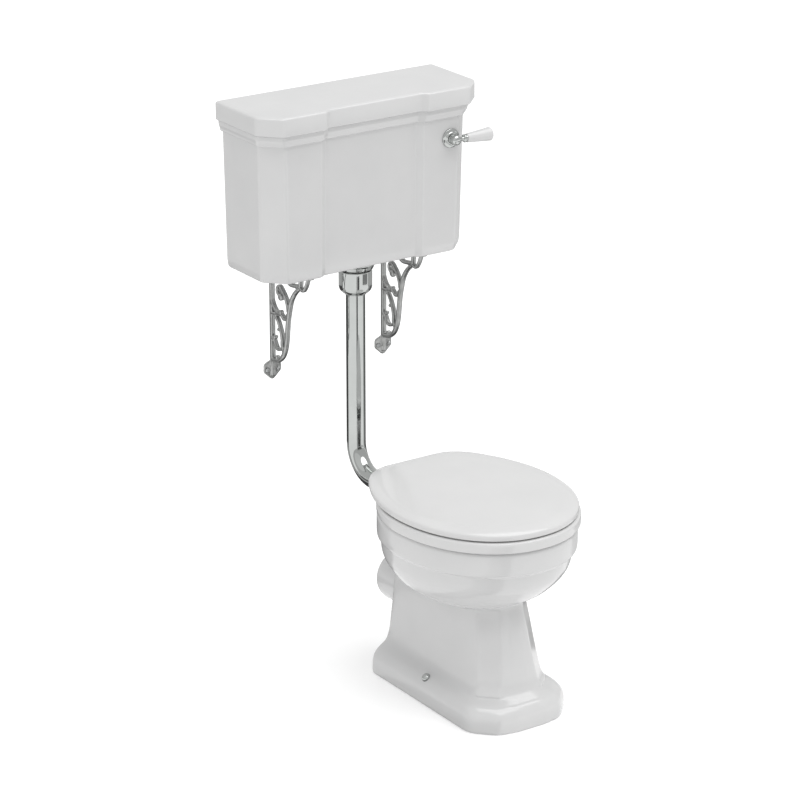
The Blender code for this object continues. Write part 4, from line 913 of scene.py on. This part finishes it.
def bracket(word):
    """A wall bar, an arm under the cistern, the scrolls between them and the foot, cast in one."""
    node = "bracket_" + word
    low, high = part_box(node)
    x = (low.x + high.x) / 2
    top = high.z
    tip = low.z

    def point(out, drop):
        return Vector((x, WALL - out * MM, CISTERN_BOTTOM - drop * MM))

    thick = 10 * MM
    bar_low = (x - 5 * MM, WALL - 9 * MM, tip + 10 * MM)
    piece = block("bar", bar_low, (x + 5 * MM, WALL - 0.2 * MM, top), 2 * MM)
    arm_low = (x - 6 * MM, WALL - 150 * MM, top - 5 * MM)
    arm = block("arm", arm_low, (x + 6 * MM, WALL - 4 * MM, top), 1.5 * MM)
    join(piece, arm)
    for name, width, taper, route in BRACKET_STRIPS:
        route = [Vector((0, out, drop)) for out, drop in route]
        smooth_route = [point(p.y, p.z) for p in through(route, 6)]
        join(piece, strap(name, smooth_route, width * MM, thick, taper))
    for (out, drop), radius in BRACKET_KNOBS:
        half = thick / 2
        profile = [
            (radius * 0.6 * MM, -half), (radius * MM, -half * 0.6), (radius * MM, half * 0.6),
            (radius * 0.6 * MM, half),
        ]
        join(piece, turned("knob", profile, point(out, drop), (1, 0, 0), 24))
    join(piece, shield(x, tip))
    cast_in_one(piece, BRACKET_VOXEL, 3)
    piece.name = node + "_cast"
    stands_for(piece, node)


def shield(x, tip):
    """The shield-shaped foot: thin edges, raised in the middle, with two screw holes."""
    middle = tip + 24 * MM
    corners = [
        (0, tip - middle, 8 * MM), (20.4 * MM, -5 * MM, 8 * MM), (19.6 * MM, 12 * MM, 8 * MM),
        (6 * MM, 18 * MM, 8 * MM), (-6 * MM, 18 * MM, 8 * MM), (-19.6 * MM, 12 * MM, 8 * MM),
        (-20.4 * MM, -5 * MM, 8 * MM),
    ]
    outline = rounded(corners, 6)
    rings = []
    for share, rise in ((1.0, 0.2), (1.0, 2.6), (0.92, 3.8), (0.6, 4.6), (0.3, 6.8), (0.1, 8.0)):
        rings.append([(x + px * share, WALL - rise * MM, middle + py * share) for px, py in outline])
    plate = grid("shield", rings, low_cap=True, high_cap=True)
    for way in (-1, 1):
        hole_x = x + way * 13 * MM
        start, end = (hole_x, WALL - 14 * MM, middle), (hole_x, WALL + 3 * MM, middle)
        cut(plate, bar("hole", start, end, 2.6 * MM, 0.2 * MM, 24))
    return plate


# ---------------------------------------------------------------- lever


def lever_front():
    """The y of the cistern's tapering front at the lever's height."""
    drop = MOULDING_BOTTOM - LEVER_Z
    return WALL - BODY_DEPTH + 0.7 * BODY_TAPER * drop / (MOULDING_BOTTOM - CISTERN_BOTTOM)


def lever_rose(front):
    low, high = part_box("lever_rose")
    radius = (high.x - low.x) / 2
    inner, back = 4.4 * MM, -high.y + front
    rose = [
        (inner, 7 * MM), (11 * MM, 7 * MM), (12.5 * MM, 6.2 * MM), (13.5 * MM, 5 * MM), (16 * MM, 4.6 * MM),
        (radius - 0.6 * MM, 3.2 * MM), (radius, 2 * MM), (radius, GAP), (7.5 * MM, GAP), (7.5 * MM, back),
        (inner, back),
    ]
    at = (LEVER_X, front, LEVER_Z)
    turned_ring("lever_rose_chromed", "lever_rose", rose, 0.9 * MM, at, (0, -1, 0))


def lever_crank(front, grip_y):
    """A domed hub on the spindle with a beaded neck that holds the handle."""
    low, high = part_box("lever_crank")
    hub = front - high.y
    end = front - low.y
    dome = through(
        [
            (end, 0.4), (end - 0.6 * MM, 4.0), (end - 2.6 * MM, 7.6), (end - 6 * MM, 9.8),
            (end - 9 * MM, 10.5),
        ],
        5,
    )
    profile = [(radius * MM, height) for height, radius in dome]
    profile += [
        (10.5 * MM, hub + 5 * MM), (9.6 * MM, hub + 3.6 * MM), (9.6 * MM, hub + 2.6 * MM),
        (10.3 * MM, hub + 1.4 * MM), (9 * MM, hub),
    ]
    crank = turned("crank", profile, (LEVER_X, front, LEVER_Z), (0, -1, 0), 72)
    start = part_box("lever_handle")[0].x - LEVER_X - GAP
    neck = [
        (3.5 * MM, 2 * MM), (5.4 * MM, 6 * MM), (4.4 * MM, 10 * MM), (4 * MM, 14 * MM),
        (4.2 * MM, start - 8 * MM), (6 * MM, start - 7 * MM), (8.1 * MM, start - 5.5 * MM),
        (8.1 * MM, start - 3 * MM), (6.4 * MM, start - 2 * MM), (7 * MM, start),
    ]
    join(crank, turned("neck", eased(neck, 0.8 * MM, 3), (LEVER_X, grip_y, LEVER_Z), (1, 0, 0), 56))
    stands_for(finished(crank, "lever_crank_chromed", 40), "lever_crank")


def lever_handle(grip_y):
    """The tapering china handle, thick at its free end, and the cap there."""
    low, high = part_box("lever_handle")
    big = (high.z - low.z) / 2
    length = high.x - low.x
    grip = [
        (4 * MM, 0), (7.8 * MM, 0), (8.8 * MM, 1 * MM), (big - 0.3 * MM, length - 5.5 * MM),
        (big, length - 4 * MM), (big - 2.2 * MM, length - 1 * MM), (6 * MM, length), (3 * MM, length),
    ]
    cap = [(5.4 * MM, 0), (5.4 * MM, 0.8 * MM), (4.8 * MM, 2.4 * MM), (3 * MM, 3.6 * MM), (0.4 * MM, 4 * MM)]
    for node, finish, profile, corner, steps in (
        ("lever_handle", "china", grip, 1.2 * MM, 72),
        ("lever_end_cap", "chromed", cap, 0.6 * MM, 48),
    ):
        start = (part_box(node)[0].x, grip_y, LEVER_Z)
        made = turned(f"{node}_{finish}", eased(profile, corner), start, (1, 0, 0), steps)
        stands_for(made, node)


def lever():
    front = lever_front()
    low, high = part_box("lever_handle")
    grip_y = (low.y + high.y) / 2
    lever_rose(front)
    lever_crank(front, grip_y)
    lever_handle(grip_y)


# ---------------------------------------------------------------- small fittings


def finished(piece, name, angle=35):
    smooth(piece.data, angle)
    piece.name = name
    return piece


HINGE_RADIUS = 6.5 * MM


def hinge_barrel(name, node):
    """The part of a pillar or a leaf that goes round the rod."""
    low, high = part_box(node)
    return bar(name, (low.x, ROD_Y, ROD_Z), (high.x, ROD_Y, ROD_Z), HINGE_RADIUS, 1 * MM)


def hinge_pillar(word):
    node = "hinge_pillar_" + word
    low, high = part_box(node)
    pillar = hinge_barrel("pillar", node)
    join(pillar, block("foot", low, (high.x, ROD_Y + 2 * MM, low.z + 4.7 * MM), 1 * MM))
    stands_for(finished(pillar, node + "_chromed"), node)


def hinge_leaf(kind, word):
    """A barrel with a flat tongue: level with the rod on the ring, above it on the lid."""
    node = f"{kind}_hinge_leaf_{word}"
    low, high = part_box(node)
    plate_z = ROD_Z if kind == "ring" else high.z - 1.5 * MM
    leaf = hinge_barrel("leaf", node)
    tongue_low = (low.x + 0.1 * MM, low.y, plate_z - 1.5 * MM)
    tongue_high = (high.x - 0.1 * MM, ROD_Y, plate_z + 1.5 * MM)
    join(leaf, block("tongue", tongue_low, tongue_high, 0.5 * MM))
    if kind == "lid":
        neck_low = (low.x + 0.2 * MM, ROD_Y - 5 * MM, ROD_Z)
        join(leaf, block("neck", neck_low, (high.x - 0.2 * MM, ROD_Y + 5 * MM, plate_z), 0.5 * MM))
    stands_for(finished(leaf, node + "_chromed"), node)


def seat_hinge():
    low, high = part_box("hinge_rod")
    rod = bar("hinge_rod_chromed", (low.x, ROD_Y, ROD_Z), (high.x, ROD_Y, ROD_Z), 4 * MM)
    stands_for(rod, "hinge_rod")
    for word in ("left", "right"):
        hinge_pillar(word)
        for kind in ("ring", "lid"):
            hinge_leaf(kind, word)


def floor_caps():
    """Domed caps on the foot's sides, square to the slanting floor screws."""
    for side, word in ((-1, "left"), (1, "right")):
        node = "floor_screw_cap_" + word
        low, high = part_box(node)
        outward = Vector((side, 0, 1)).normalized()
        radius = 9 * MM
        base = (low + high) / 2 - outward * 2.9 * MM
        cap = [
            (radius * 0.86, 0), (radius, 0), (radius, 1.2 * MM), (radius * 0.9, 4.4 * MM),
            (radius * 0.6, 6.6 * MM), (radius * 0.3, 7.3 * MM), (0.2 * MM, 7.6 * MM),
        ]
        stands_for(turned(node + "_chromed", eased(cap, 1.5 * MM), base, outward, 48), node)


def screw_head(node):
    """A slotted round head with a shank to the wall."""
    low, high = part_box(node)
    middle = (low + high) / 2
    x, z = middle.x, middle.z
    base = WALL - 5.3 * MM
    dome = [(4.6 * MM, 0), (4.2 * MM, 1.2 * MM), (2.8 * MM, 2.2 * MM), (0.3 * MM, 2.8 * MM)]
    head = turned("head", eased(dome, 0.6 * MM), (x, base, z), (0, -1, 0), 32)
    slot_low = (x - 6 * MM, base - 4 * MM, z - 0.4 * MM)
    cut(head, block("slot", slot_low, (x + 6 * MM, base - 1.6 * MM, z + 0.4 * MM), 0.05 * MM, 1))
    join(head, bar("shank", (x, base - 0.4 * MM, z), (x, WALL, z), 2.3 * MM, 0.2 * MM, 24))
    stands_for(finished(head, node + "_head"), node)


def screw_heads():
    for word in ("left", "right"):
        for place_word in ("inner", "outer"):
            screw_head(f"bracket_screw_{word}_{place_word}")


def carried_over():
    """The CAD nodes that stay take the same finishes."""
    for name, node in frame["nodes"].items():
        if node.hide_render:
            continue
        node.data.materials.clear()
        node.data.materials.append(FINISHES[SLOT_OF[name]])
        smooth(node.data, 32)


# ---------------------------------------------------------------- studio


FLOOR_REACH = 40
FLOOR_DROP = 0.4 * MM
CARD_HEIGHT = 0.0006
WORLD_STRENGTH = 0.7

# Name, strength, angle of the lamp in degrees and its turn in degrees
LAMPS = [
    ("key", 1.95, 60, (16, 0, 30)),
    ("fill", 0.25, 80, (42, 0, -72)),
]

# Sectors about the flush pipe: from and to in degrees, near and far radius, shade
CARDS_START = math.radians(236)
DARK_CARDS = [
    (100, 124, 1.0, 2.1, 0.25),
    (124, 258, 1.0, 2.1, 0.05),
    (18, 27, 0.12, 3.2, 0.03),
    (8, 18, 0.12, 3.2, 0.32),
    (50, 88, 2.2, 3.6, 0.22),
    (94, 266, 2.1, 8.0, 0.42),
    (94, 266, 0.6, 1.0, 0.42),
    (80, 280, 0.06, 0.6, 0.04),
]


def flat_sheet(name, points, shade):
    """A matt sheet lying on the floor, and its shader."""
    mesh = bpy.data.meshes.new(name)
    mesh.from_pydata(points, [], [list(range(len(points)))])
    sheet = linked(name, mesh)
    matt, nodes, _ = new_material(name)
    shader = nodes["Principled BSDF"]
    shader.inputs["Base Color"].default_value = (shade, shade, shade, 1)
    shader.inputs["Roughness"].default_value = 0.9
    mesh.materials.append(matt)
    return sheet, shader


def paper_floor():
    """White paper that gives off a little light of its own."""
    far = FLOOR_REACH
    corners = [(-far, -far, 0), (far, -far, 0), (far, far, 0), (-far, far, 0)]
    floor, shader = flat_sheet("floor", corners, 0.72)
    floor.location.z = -FLOOR_DROP
    shader.inputs["Specular IOR Level"].default_value = 0.1
    shader.inputs["Emission Color"].default_value = (1, 1, 1, 1)
    shader.inputs["Emission Strength"].default_value = 0.3


def dark_card(first, last, near, far, shade):
    """A dark card flat on the floor that only reflections pick up."""
    turns = [CARDS_START + math.radians(first + (last - first) * k / 24) for k in range(25)]
    points = [(near * math.cos(a), PIPE_Y + near * math.sin(a), CARD_HEIGHT) for a in turns]
    points += [(far * math.cos(a), PIPE_Y + far * math.sin(a), CARD_HEIGHT) for a in reversed(turns)]
    card, _ = flat_sheet("dark_card", points, shade)
    card.visible_camera = False
    card.visible_diffuse = False
    card.visible_shadow = False


def studio():
    paper_floor()
    for card in DARK_CARDS:
        dark_card(*card)
    world = bpy.data.worlds.new("studio")
    bpy.context.scene.world = world
    world.use_nodes = True
    world.node_tree.nodes["Background"].inputs["Color"].default_value = (1, 1, 1, 1)
    world.node_tree.nodes["Background"].inputs["Strength"].default_value = WORLD_STRENGTH
    for name, strength, spread_deg, tilt in LAMPS:
        lamp = bpy.data.lights.new(name, "SUN")
        lamp.energy = strength
        lamp.angle = math.radians(spread_deg)
        linked(name, lamp).rotation_euler = [math.radians(a) for a in tilt]


LENS = 149.4
TARGET = Vector((0.0134, 0.093, 0.5141))
AZIMUTH = math.radians(-34.1)
ELEVATION = math.radians(20.4)
DISTANCE = 6.4407


def camera():
    lens = bpy.data.cameras.new("camera")
    lens.lens = LENS
    lens.clip_end = 200
    eye = linked("camera", lens)
    level = math.cos(ELEVATION)
    back = Vector((math.sin(AZIMUTH) * level, -math.cos(AZIMUTH) * level, math.sin(ELEVATION)))
    eye.location = TARGET + back * DISTANCE
    eye.rotation_euler = (-back).to_track_quat("-Z", "Y").to_euler()
    bpy.context.scene.camera = eye


camera()
pan()
seat_ring()
seat_lid()
cistern_body()
cistern_lid()
flush_pipe()
pipe_joint()
flush_cone()
bracket("left")
bracket("right")
lever()
seat_hinge()
floor_caps()
screw_heads()
carried_over()
studio()
bpy.context.scene.view_settings.view_transform = "Standard"
